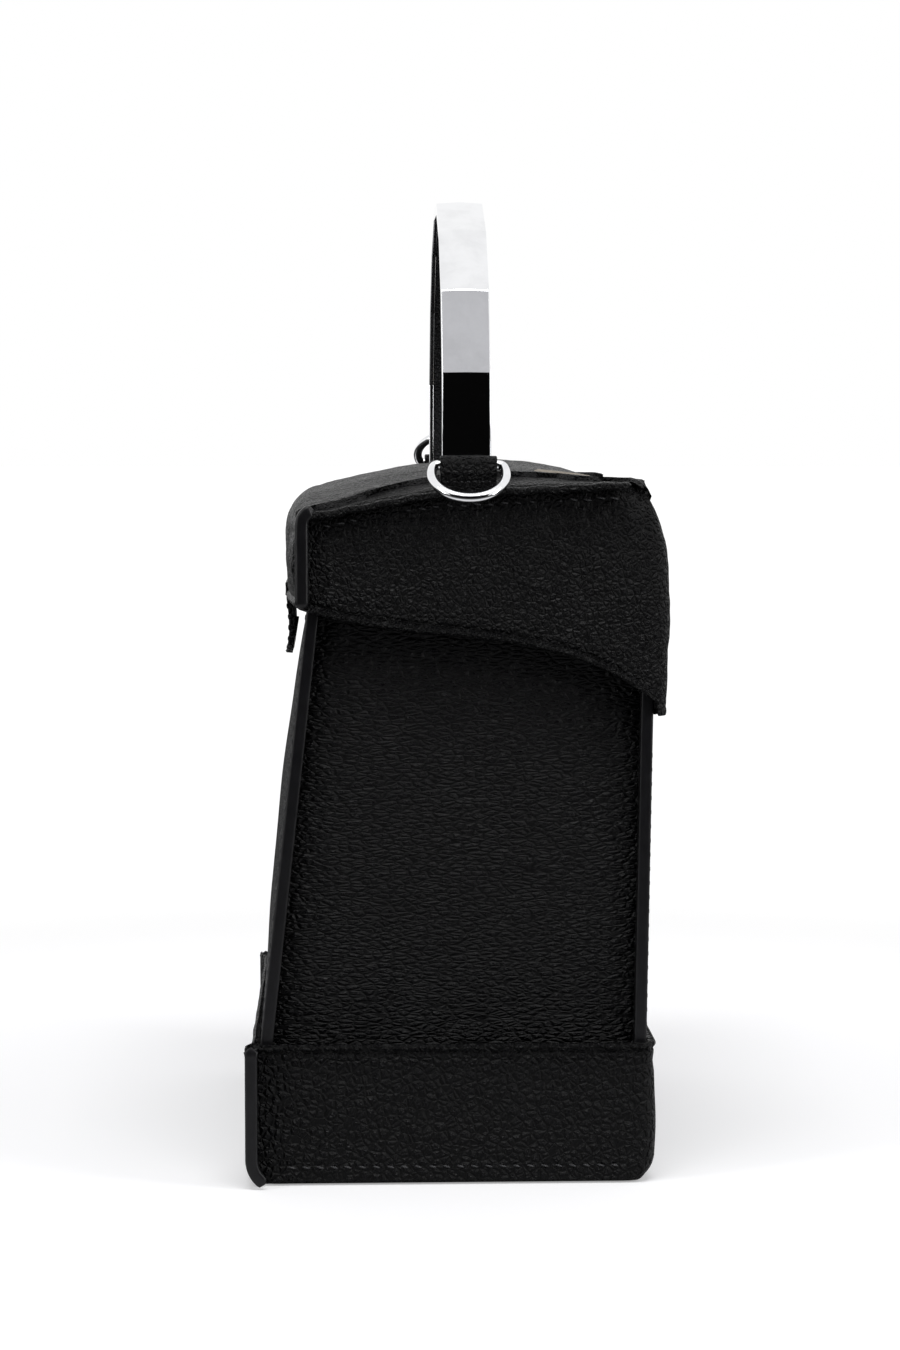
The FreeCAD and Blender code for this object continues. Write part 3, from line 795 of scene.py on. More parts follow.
@dataclass
class BaseTray:
    """Band and bottom round the foot of the body."""

    maker: Maker
    side: float = 77.0
    fin: float = 81.0
    front: float = -63.7
    back: float = 54.04
    top: float = 41.0
    corner: float = 5.0
    leather: float = 1.8
    lean: float = 2.2                  # how far the front's rim leans back onto the body
    roll: float = 8.2                  # radius where the front turns under
    lip: float = 0.3                   # height of the turned-under edges

    def hollow(self, z: Array) -> Array:
        """Offset of the band's face: a rolled rim, a groove under it, a soft crease and a low belly.

        Args:
            z: heights.
        Returns:
            The offset outwards, a sum of four bell curves in the drop from the rim.
        """
        drop = self.top - z
        rim = 0.45 * np.exp(-((drop - 0.9) / 0.8) ** 2)
        groove = -0.35 * np.exp(-((drop - 2.3) / 0.5) ** 2)
        crease = -0.45 * np.exp(-((drop - 6.0) / 2.2) ** 2)
        belly = 0.55 * np.exp(-((drop - 24.0) / 9.0) ** 2)
        return rim + groove + crease + belly

    def front_sheet(self) -> None:
        """Front leather: down the face, then round a quarter circle to the underside."""
        drop = np.r_[0.0, 0.35, 0.8, 1.2, 1.7, 2.1, 2.5, 3.0, 3.8, 4.8, 6.0, 7.5, 9.0,
                     np.linspace(11, self.top - self.lip - self.roll, 16)]
        turn = np.radians(np.linspace(0, 90, 13)[1:])
        y = np.r_[np.full(len(drop), self.front), self.front + self.roll * (1 - np.cos(turn)),
                  self.front + self.roll + np.array([2.0, 4.0])]
        z = np.r_[self.top - drop, self.lip + self.roll * (1 - np.sin(turn)), self.lip, self.lip]
        x = np.linspace(-self.fin + 0.2, self.fin - 0.2, 81)
        grid = np.stack(np.broadcast_arrays(x[None], y[:, None], z[:, None]), -1).copy()
        share = np.clip((self.side - 1 - np.abs(grid[..., 0])) / 3, 0, 1)
        under = np.clip((np.arange(len(y)) - len(drop) - 5) / 5, 0, 1)[:, None]
        grid[..., 0] *= 1 - under * (self.fin - self.side + 1.5) / self.fin
        grid[..., 1] += self.lean * share * np.clip((grid[..., 2] - 8) / 33, 0, 1)
        grid[..., 1] -= share * self.hollow(grid[..., 2]) * (np.arange(len(y)) < len(drop) + 6)[:, None]
        grid[0, :, 1] += 0.5
        grid[..., 1] -= share * ridged(grid, 21, 50, 0.25)
        self.maker.piece("base_front_leather", [slab(grid, self.leather, (0, -1, 0))],
                         self.maker.finishes.base,
                         Body.BAG, "black_leather", ["base_front"], 0.4, 60)

    def plan(self) -> tuple[Array, Array]:
        """Path of the side and back strip: straight, quarter circle, straight.

        Returns:
            The path and its outward directions.
        """
        turn = np.radians(np.linspace(0, 90, 10))
        start = self.front + self.leather
        y = np.r_[np.linspace(start, self.back - self.corner, 48)[:-1],
                  self.back - self.corner + self.corner * np.sin(turn)]
        x = np.r_[np.full(47, self.side), self.side - self.corner * (1 - np.cos(turn))]
        half = np.stack([x, y], -1)
        back = np.stack([np.linspace(self.side - self.corner, 0, 40)[1:], np.full(39, self.back)], -1)
        half = np.concatenate([half, back])
        path = np.concatenate([half, (half[:-1] * [-1, 1])[::-1]])
        ahead = np.gradient(path, axis=0)
        out = np.stack([ahead[:, 1], -ahead[:, 0]], -1)
        return path, out / np.linalg.norm(out, axis=1, keepdims=True)

    def strip(self) -> None:
        """Side and back strip, whose foot rises and turns under with the front and the back."""
        path, out = self.plan()
        y = path[:, 1]
        arc = self.lip + self.roll - np.sqrt(np.clip(self.roll ** 2 - np.clip(self.front + self.roll - y, 0,
                                                                              self.roll) ** 2, 0, None))
        under = 1.6 + 4.2 * np.clip((y - (self.back - 9)) / 9, 0, 1) ** 2
        drop = np.r_[0.3, 0.0, 0.35, 0.8, 1.2, 1.7, 2.1, 2.5, 3.0, 3.8, 4.8, 6.0, 7.5, 9.0,
                     np.linspace(11, self.top - 7, 14)]
        level = self.top - drop
        inset = np.r_[-0.9, -0.35, np.zeros(len(drop) - 2)]
        wall = inset + self.hollow(level)
        turn = np.radians(np.linspace(0, 90, 10)[1:])
        across = np.broadcast_to(wall, (len(path), len(wall)))
        height = np.broadcast_to(level, across.shape)
        foot_a = under[:, None] * 1.25
        foot_b = np.minimum(under * 1.5, 7.0)[:, None]
        height = np.maximum(height, (arc[:, None] + foot_b) + (height - 7.0) * 0.02)
        low_a = -foot_a * (1 - np.cos(turn))[None]
        low_b = arc[:, None] + foot_b * (1 - np.sin(turn))[None]
        lip_a = np.concatenate([-foot_a - 2.0, -foot_a - 2.0], 1)
        lip_b = np.concatenate([arc[:, None], arc[:, None] + 1.2], 1)
        inner_a = np.broadcast_to(np.array([-self.leather, -self.leather]), (len(path), 2)) - foot_a * [0.6,
                                                                                                        0.0]
        inner_b = np.concatenate([arc[:, None] + foot_b + 0.5, np.full((len(path), 1), self.top - 0.5)], 1)
        sect = np.stack([np.concatenate([across, low_a, lip_a, inner_a], 1),
                         np.concatenate([height, low_b, lip_b, inner_b], 1)], -1)
        flat = np.concatenate([path, np.zeros((len(path), 1))], 1)
        sides = np.concatenate([out, np.zeros((len(path), 1))], 1)
        up = np.tile([0.0, 0.0, 1.0], (len(path), 1))
        points, faces = sweep(flat, sides, up, sect)
        fins = []
        z = np.linspace(self.lip + 3.6, self.top - 0.6, 30)
        for side in Side:
            line = np.stack([np.full_like(z, side.value * (self.side + 1.6)),
                             np.full_like(z, self.front + 1.5 * self.leather), z], -1)
            line[:, 1] += self.roll - np.sqrt(np.clip(self.roll ** 2 - np.clip(self.lip + self.roll - z,
                                                                               0, None) ** 2, 0, None))
            fins.append(sweep(line, np.tile([1.0, 0, 0], (30, 1)), np.tile([0, 1.0, 0], (30, 1)),
                              oval(5.2, 1.7, 5, 20)))
        self.maker.piece("base_band_leather", [(points, faces), *fins], self.maker.finishes.base, Body.BAG,
                         "black_leather", ["base_wrap"], 0.0, 55)

    def fin_edges(self) -> None:
        """Painted edges of the two front fins, with a small knob at the top of each."""
        turn = np.radians(np.linspace(0, 58, 12))
        y = np.r_[np.full(24, self.front), self.front + self.roll * (1 - np.cos(turn[1:]))] + self.leather
        z = np.r_[np.linspace(self.top + 0.2, self.lip + self.roll, 24),
                  self.lip + self.roll * (1 - np.sin(turn[1:]))]
        ahead = np.gradient(np.stack([y, z], -1), axis=0)
        ahead /= np.linalg.norm(ahead, axis=1, keepdims=True)
        parts = []
        for side in Side:
            path = np.stack([np.full_like(y, side.value * self.fin), y, z], -1)
            across = np.tile([side.value, 0.0, 0.0], (len(y), 1))
            up = np.stack([np.zeros_like(y), ahead[:, 1], -ahead[:, 0]], -1)
            swell = 1 + 0.22 * np.exp(-((self.top - 0.8 - z) / 1.1) ** 2)
            parts.append(sweep(path, across, up, oval(1.4, 3.5, 3.2, 20)[None] * swell[:, None, None],
                               taper=1.3))
        self.maker.piece("base_fin_edges", parts, self.maker.finishes.edge, Body.BAG, "black_leather")

    def bottom(self) -> None:
        """Bottom panel: a pillow whose middle touches the floor, z = lip * (1 - share)."""
        x = np.linspace(-self.side + 4, self.side - 4, 61)
        y = np.linspace(self.front + self.roll + 1.0, self.back - 6, 41)
        grid_x, grid_y = np.meshgrid(x, y, indexing="ij")
        u = np.clip(1 - np.abs(grid_x) / (self.side - 4), 0, 1)
        middle = (y[0] + y[-1]) / 2
        v = np.clip(1 - np.abs(grid_y - middle) / (y[-1] - middle), 0, 1)
        share = np.clip(np.minimum(u * 6, v * 4), 0, 1) ** 0.5
        z = (self.lip + 0.5) * (1 - share)
        points, faces = slab(np.stack([grid_x, grid_y, z], -1), 1.6, (0, 0, -1))
        self.maker.piece("bottom_leather", [(points, faces)], self.maker.finishes.base, Body.BAG,
                         "black_leather", ["bottom_panel"], 0.0, 60)
        x, y = np.linspace(-self.side + 6, self.side - 6, 25), np.linspace(self.front + 9, self.back - 9, 17)
        board = np.stack(np.meshgrid(x, y, [4.4], indexing="ij"), -1)[:, :, 0]
        self.maker.piece("base_stiffener", [slab(board, 2.2, (0, 0, 1))], self.maker.finishes.board, Body.BAG,
                         "stiffener_board", ["base_board"], 0.3)

    def seams(self) -> None:
        """Stitches along the foot of the band and close under its rim at the front."""
        path, out = self.plan()
        keep = (path[:, 1] > -54) & (path[:, 1] < 45)
        rows = []
        for side in Side:
            mask = keep & (np.sign(path[:, 0]) == side.value)
            line = np.concatenate([path[mask] + out[mask] * 0.05, np.full((mask.sum(), 1), 5.4)], 1)
            rows.append(self.maker.stitches(line, np.concatenate([out[mask], np.zeros((mask.sum(), 1))], 1)))
        x = np.linspace(-self.side + 5, self.side - 5, 60)
        for y, sign in ((self.front, -1.0), (self.back, 1.0)):
            line = np.stack([x, np.full_like(x, y + (0.2 if sign < 0 else 0.0)), np.full_like(x, 11.5)], -1)
            rows.append(self.maker.stitches(line, np.tile([0.0, sign, 0.0], (60, 1))))
        self.maker.piece("base_stitches", rows, self.maker.finishes.thread, Body.BAG, "black_leather")

    def build(self) -> None:
        """Every piece of the base."""
        self.front_sheet()
        self.strip()
        self.fin_edges()
        self.bottom()
        self.seams()


@dataclass
class Cup:
    """A skin that runs from a rim, up a wall, round a roll and over a cap to a middle line.

    The plan goes round the bag: front, right, back, left. The same number of points along the
    front and the back lets the cap close on one line.
    """

    side: float
    front: float
    bow: float
    back: float
    front_corner: float = 1.2
    back_corner: float = 5.5
    along: int = 61
    flank: int = 56

    def plan(self) -> tuple[Array, Array, Array]:
        """Outline of the skin.

        Returns:
            The outline, its outward directions and each point's share along the middle line.
        """
        t = np.linspace(-1, 1, self.along)
        reach = self.side - self.front_corner
        fx, fy = reach * t, self.front - self.bow * (1 - t ** 2)
        turn = np.radians(np.linspace(0, 90, 5))[1:-1]
        cx = reach + self.front_corner * np.sin(turn)
        cy = self.front + self.front_corner * (1 - np.cos(turn))
        sy = np.linspace(self.front + self.front_corner, self.back - self.back_corner, self.flank)
        bend = np.radians(np.linspace(0, 90, 12))[1:-1]
        bx = self.side - self.back_corner * (1 - np.cos(bend))
        by = self.back - self.back_corner + self.back_corner * np.sin(bend)
        right = np.stack([np.r_[cx, np.full(self.flank, self.side), bx], np.r_[cy, sy, by]], -1)
        rear = np.stack([(self.side - self.back_corner) * -t, np.full(self.along, self.back)], -1)
        outline = np.concatenate([np.stack([fx, fy], -1), right, rear, (right * [-1, 1])[::-1]])
        ahead = np.roll(outline, -1, 0) - np.roll(outline, 1, 0)
        out = np.stack([ahead[:, 1], -ahead[:, 0]], -1)
        out /= np.linalg.norm(out, axis=1, keepdims=True)
        n = len(right)
        middle = np.r_[t, np.ones(n), -t, -np.ones(n)]
        return outline, out, middle


@dataclass
class Hood:
    """The hinged hood: domed cover in one piece, seam fins, painted front fins and the lining."""

    maker: Maker
    side: float = 77.0
    front: float = -48.9
    bow: float = 3.4
    back: float = 57.0
    leather: float = 1.8
    span: float = 58.0                # half length of the cap's middle line
    hem_back: float = 134.9           # height of the hem along the back
    hem_turn: float = 54.2            # where the side's hem meets the back's

    def seam(self, y: Array) -> Array:
        """Height of the top seam: two straight runs eased into each other.

        Args:
            y: places along the seam.
        Returns:
            The heights.
        """
        low = 193.0 + (y + 44.0) * 6.0 / 34.0
        high = 199.0 + (y + 10.0) * 2.8 / 56.0
        ease = 1 / (1 + np.exp(-(y + 10.0) / 4.0))
        return low * (1 - ease) + high * ease

    def top(self, x: Array, y: Array, drop: float = 0.0) -> Array:
        """Height of the lid: the seam's height at the ends, a flat arc over the middle.

        Args:
            x: places along the length.
            y: places along the depth.
            drop: how far below the top.
        Returns:
            The heights.
        """
        arch = 207.2 - 9.0 * ((y - 8.0) / 53.5) ** 2 * np.where(y < 8, 1.0, 1.6)
        share = np.clip(1 - (x / self.side) ** 2, 0, 1)
        return self.seam(y) + (arch - self.seam(y)) * share - drop

    def hem(self, y: Array) -> Array:
        """Height of the lower edge: a quartic in the share of the way back, then level.

        Args:
            y: places along the depth.
        Returns:
            The heights.
        """
        s = np.clip((y + 48.9) / 103.1, 0, 1.0)
        curve = -13.5 * s ** 4 - 35.3 * s ** 3 + 56.8 * s ** 2 - 35.4 * s + 165.8
        return np.where(y > self.hem_turn, self.hem_back, np.maximum(curve, self.hem_back))

    def skin(self, name: str, material: bpy.types.Material, inset: float, drop: float, rise: float | None,
             thickness: float, replaces: Sequence[str], slot: str, hemmed: bool) -> None:
        """One skin of the hood.

        Args:
            name: of the piece.
            material: its finish.
            inset: how far inside the outline.
            drop: how far below the lid's top.
            rise: height of its rim, or none for the slanting hem.
            thickness: of the sheet.
            replaces: CAD nodes that it stands for.
            slot: the record's material slot.
            hemmed: whether its rim is a rolled hem.
        """
        cup = Cup(self.side - inset, self.front + inset, self.bow, self.back - inset,
                  back_corner=max(5.5 - inset, 2.0))
        outline, out, middle = cup.plan()
        x, y = outline[:, 0], outline[:, 1]
        u = np.clip(np.abs(x) / self.side, 0, 1)
        at_front = np.exp(-np.clip(y - self.front - 1.2, 0, None) / 1.2)
        at_back = np.clip((y - 36.0) / 18.0, 0, 1) ** 2 * (3 - 2 * np.clip((y - 36.0) / 18.0, 0, 1))
        a = 2.2 + at_front * (2.0 + 5.6 * (1 - u ** 2)) + at_back * 8.3
        b = 2.2 + at_front * (3.0 + 7.2 * (1 - u ** 2)) + at_back * 21.0
        inner = outline - out * a[:, None]
        crown = self.top(inner[:, 0], inner[:, 1], drop)
        shoulder = crown - b
        low = self.hem(y) if rise is None else np.full(len(x), rise)
        if hemmed:
            edge = np.array([0.0, 0.25, 0.6, 1.0, 1.5, 2.0, 2.35, 2.7, 3.1, 3.7, 4.6])
            lift = np.array([-0.75, -0.2, 0.15, 0.35, 0.35, 0.1, -0.35, -0.5, -0.25, 0.0, 0.0])
        else:
            edge, lift = np.array([0.0, 2.0]), np.zeros(2)
        share = np.linspace(0, 1, 34)[1:]
        climb_left = (shoulder - low - edge[-1])[:, None]
        heights = np.concatenate([low[:, None] + edge[None],
                                  low[:, None] + edge[-1] + climb_left * share[None]], 1)
        push = np.concatenate([lift[None] * (1 - 0.75 * at_back[:, None]),
                               (0.9 * np.sin(np.pi * share) * np.where(np.abs(x) > 60, 1.0,
                                                                       0.3)[:, None])], 1)
        wall = np.stack([x[:, None] + out[:, :1] * push, y[:, None] + out[:, 1:] * push, heights], -1)
        turn = np.radians(np.linspace(0, 90, 15))[1:]
        power = 2 / (2.0 - 0.35 * at_back)
        away = (1 - np.cos(turn)[None] ** power[:, None]) * a[:, None]
        climb = np.sin(turn)[None] ** power[:, None] * b[:, None]
        roll = np.stack([x[:, None] - out[:, :1] * away, y[:, None] - out[:, 1:] * away,
                         shoulder[:, None] + climb], -1)
        weights = np.linspace(1, 0, 20)[1:]
        line = np.stack([middle * self.span, np.full_like(middle, 4.0)], -1)
        flat = line[:, None] + (inner - line)[:, None] * weights[None, :, None]
        cap = np.concatenate([flat, self.top(flat[..., 0], flat[..., 1], drop)[..., None]], -1)
        grid = np.concatenate([wall, roll, cap], 1).transpose(1, 0, 2)
        count = len(edge)
        row = np.arange(len(grid))
        fade = (np.clip((row - count) / 8, 0, 1) * (row < len(grid) - 1))[:, None]
        soft = ridged(grid, 31, 34, 0.42) + ridged(grid, 32, 15, 0.20)
        normal = grid_normals(grid)
        normal[:, 0] = normal[:, 1]
        normal[:, -1] = normal[:, -2]
        centre = np.array([0, 4.0, 150.0])
        normal *= np.sign(((grid - centre) * normal).sum(-1, keepdims=True))
        grid = grid + normal * (soft * fade)[..., None] * (1.0 if hemmed else 0.4)
        rows, cols = grid.shape[:2]
        points, faces = grid.reshape(-1, 3), quads(rows, cols, True)
        corners = points[faces]
        facing = np.cross(corners[:, 2] - corners[:, 0], corners[:, 3] - corners[:, 1])
        if (facing * (corners.mean(1) - centre)).sum() < 0:
            faces = faces[:, ::-1]
        obj = self.maker.piece(name, [(points, faces)], material, Body.HOOD, slot, replaces, 0.0, 75,
                               merge=True)
        solid = obj.modifiers.new("thickness", "SOLIDIFY")
        solid.thickness, solid.offset = thickness * MM, -1.0

    def seam_fins(self) -> None:
        """Top seam fins: a thin ledge along each side's top seam, ending in the pinch at the back."""
        y = np.linspace(-47.0, 46.5, 90)
        z = self.seam(y) - 1.25 + 0.18 * np.sin(y * 0.7)
        parts, rows = [], []
        for side in Side:
            path = np.stack([np.full_like(y, side.value * (self.side + 1.1)), y, z], -1)
            path[:, 0] -= side.value * np.clip((y - 38) / 9, 0, 1) ** 2 * 3.0
            across = np.tile([side.value, 0.0, 0.0], (len(y), 1))
            up = np.tile([0.0, -0.08, 1.0], (len(y), 1))
            parts.append(sweep(path, across, up, oval(4.4, 2.3, 3.0, 20), taper=3.0))
            row = path[(y > -42) & (y < 44)] - [side.value * 1.1, 0, 3.3]
            rows.append(self.maker.stitches(row + [side.value * 0.25, 0, 0],
                                            np.tile([float(side.value), 0, 0], (len(row), 1))))
        self.maker.piece("hood_seam_fins", parts, self.maker.finishes.hood, Body.HOOD, "black_leather")
        self.maker.piece("hood_stitches", rows, self.maker.finishes.thread, Body.HOOD, "black_leather")

    def front_fins(self) -> None:
        """Painted front fins: upright, their tops rounded over into the seam."""
        turn = np.radians(np.linspace(0, 80, 10))[1:]
        z = np.r_[np.linspace(165.7, 189.5, 30), 189.5 + 4.2 * np.sin(turn)]
        y = np.r_[np.full(30, self.front + 1.9), self.front + 1.9 + 4.2 * (1 - np.cos(turn))]
        ahead = np.gradient(np.stack([y, z], -1), axis=0)
        ahead /= np.linalg.norm(ahead, axis=1, keepdims=True)
        parts = []
        for side in Side:
            path = np.stack([np.full_like(z, side.value * (self.side + 1.5)), y, z], -1)
            across = np.tile([side.value, 0.0, 0.0], (len(z), 1))
            up = np.stack([np.zeros_like(y), -ahead[:, 1], ahead[:, 0]], -1)
            parts.append(sweep(path, across, up, oval(4.2, 3.9, 4.0, 24), taper=1.6))
        self.maker.piece("hood_fin_edges", parts, self.maker.finishes.edge, Body.HOOD, "black_leather")

    def build(self) -> None:
        """Every piece of the hood."""
        finishes = self.maker.finishes
        self.skin("hood_leather_cover", finishes.hood, 0.0, 0.0, None, self.leather - 0.4, ["hood_cover"],
                  "black_leather", True)
        self.skin("hood_cloth_lining", finishes.lining, self.leather + 0.15, 3.9, 171.0, 0.7, ["hood_lining"],
                  "lining_cloth", False)
        self.seam_fins()
        self.front_fins()


@dataclass
class HingeStrip:
    """Leather hinge strip folded at the hood's hem, one half on each body."""

    maker: Maker
    half: float = 68.0
    top: float = 157.3
    fold: float = 135.4

    def build(self) -> None:
        """A strip down the body's back, round a tight fold and up the inside of the hood."""
        down = np.linspace(self.top, self.fold + 0.5, 24)
        turn = np.radians(np.linspace(0, 180, 11))
        rise = np.linspace(self.fold + 0.5, self.top, 24)
        y = np.r_[body_back(down) + 0.05, 53.86 - 0.68 * np.cos(turn) + 0.34, np.full(24, 54.88)]
        z = np.r_[down, self.fold - 0.45 * np.sin(turn), rise]
        x = np.linspace(-self.half, self.half, 41)
        path = np.stack([y, z], -1)
        keep = np.r_[True, np.linalg.norm(np.diff(path, axis=0), axis=1) > 0.05]
        path = path[keep]
        grid = np.stack(np.broadcast_arrays(x[None], path[:, :1], path[:, 1:]), -1)
        points, faces = slab(grid, 0.3, (0, -1, 0))
        obj = self.maker.piece("hinge_strip", [(points, faces)], self.maker.finishes.body, None,
                               "black_leather",
                               ["hinge_leaf_body", "hinge_leaf_hood"], 0.0, 60)
        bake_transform(obj)


@dataclass
class ClosureTab:
    """Tab with a rounded tip that hangs from the front hem and holds a magnet."""

    maker: Maker
    half: float = 17.0
    thickness: float = 1.9

    def build(self) -> None:
        """The tab's path down from the hem, its width rounding off to the tip."""
        s = np.linspace(0, 1, 40)
        z = 165.7 - 16.9 * s
        y = np.interp(z, [148.8, 151.5, 155.0, 160.0, 165.7], [-52.7, -52.1, -51.7, -51.8, -52.5])
        reach = self.half * (1 - 0.42 * np.clip((s - 0.62) / 0.38, 0, 1) ** 2.6)
        t = np.sin(np.linspace(-np.pi / 2, np.pi / 2, 31))
        grid = np.stack([reach[:, None] * t[None], np.broadcast_to(y[:, None], (40, 31)),
                         np.broadcast_to(z[:, None], (40, 31))], -1).copy()
        grid[..., 1] -= 0.25 * (1 - t[None] ** 2)
        finishes = self.maker.finishes
        self.maker.piece("tab_leather", [slab(grid, self.thickness, (0, -1, 0))], finishes.hood, Body.TAB,
                         "black_leather", ["closure_tab"], 0.55)
        edge = np.stack([np.r_[-reach[2:-1], np.linspace(-reach[-1], reach[-1], 15)[1:-1],
                               reach[2:-1][::-1]] * 0.86,
                         np.r_[y[2:-1], np.full(13, y[-4]), y[2:-1][::-1]] - 0.12,
                         np.r_[z[2:-1], np.full(13, z[-4]), z[2:-1][::-1]]], -1)
        self.maker.piece("tab_stitches",
                         [self.maker.stitches(edge, np.tile([0, -1.0, 0], (len(edge), 1)), 3.2, 2.1, 0.5)],
                         finishes.thread, Body.TAB, "black_leather")
        low, high = (np.array(corner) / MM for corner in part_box("tab_root"))
        x = np.linspace(low[0] + 0.3, high[0] - 0.3, 25)
        height = np.linspace(low[2], high[2], 8)
        root = np.stack(np.broadcast_arrays(x[None], high[1] - 0.1 + 0 * x[None], height[:, None]), -1).copy()
        root[..., 1] += 0.15 * np.sin(np.pi * (height[:, None] - low[2]) / (high[2] - low[2]))
        self.maker.piece("tab_root_leather", [slab(root, 1.9, (0, 1, 0))], finishes.body, Body.HOOD,
                         "black_leather", ["tab_root"], 0.4)


@dataclass
class Handle:
    """Arch handle: chrome facets with a low ridge, and the leather strip inside."""

    maker: Maker
    sides: int = 16
    apothem: float = 65.5
    thickness: float = 3.8
    middle: float = 219.5
    width: float = 13.9
    ridge: float = 0.45
    inlay: float = 10.6

    def arch(self, apothem: float, foot: float) -> Array:
        """Corners of the arch: foot, polygon corners, foot.

        Args:
            apothem: of the polygon.
            foot: height of both feet.
        Returns:
            X and Z of each corner.
        """
        step = math.pi / self.sides
        angle = step * (2 * np.arange(self.sides // 2) + 1)
        radius = apothem / math.cos(step)
        x = np.r_[apothem, radius * np.cos(angle), -apothem]
        z = np.r_[foot, self.middle + radius * np.sin(angle), foot]
        return np.stack([x, z], -1)

    def band(self, section: Array, foot: float, cap: Array) -> tuple[Array, Array]:
        """The section's points, each carried round the arch with mitred corners.

        Args:
            section: outline, as apothem and Y.
            foot: height of both feet.
            cap: faces that close one end, as indices into the section.
        Returns:
            Points and faces.
        """
        arches = np.stack([self.arch(a, foot) for a in section[:, 0]], 1)
        y = np.broadcast_to(section[:, 1], arches.shape[:2])
        grid = np.stack([arches[..., 0], y, arches[..., 1]], -1)
        rows, cols = grid.shape[:2]
        points = grid.reshape(-1, 3)
        faces = np.concatenate([quads(rows, cols, True), cap, cap[:, ::-1] + (rows - 1) * cols])
        return points, outward(points, faces)

    def build(self) -> None:
        """The band and its inlay."""
        outer, inner, half = self.apothem, self.apothem - self.thickness, self.width / 2
        groove = self.inlay / 2
        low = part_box("handle_band")[0].z / MM
        section = np.array([[outer - self.ridge, -half], [outer, 0.0], [outer - self.ridge, half],
                            [inner, half],
                            [inner, groove + 0.15], [inner + 1.2, groove + 0.15], [inner + 1.2,
                                                                                   -groove - 0.15],
                            [inner, -groove - 0.15], [inner, -half]])
        cap = np.array([[0, 1, 5, 6], [1, 2, 5, 5], [2, 3, 4, 5], [0, 6, 7, 8]])
        self.maker.piece("handle_chrome_band", [self.band(section, low, cap)], self.maker.finishes.chrome,
                         Body.HOOD,
                         "chrome_plate", ["handle_band"], 0.28, 5, merge=True)
        y = np.linspace(-groove, groove, 13)
        crown = inner - 0.35 * (1 - (y / groove) ** 2)
        strip = np.concatenate([np.stack([crown, y], -1), [[inner + 1.1, groove], [inner + 1.1, -groove]]])
        loop = np.arange(len(strip))
        fan = np.stack([loop[:-2] * 0, loop[1:-1], loop[2:], loop[2:]], -1)
        self.maker.piece("handle_leather_inlay", [self.band(strip, low + 2.2, fan)],
                         self.maker.finishes.inlay, Body.HOOD,
                         "black_leather", ["handle_inlay"], 0.0, 30, merge=True)


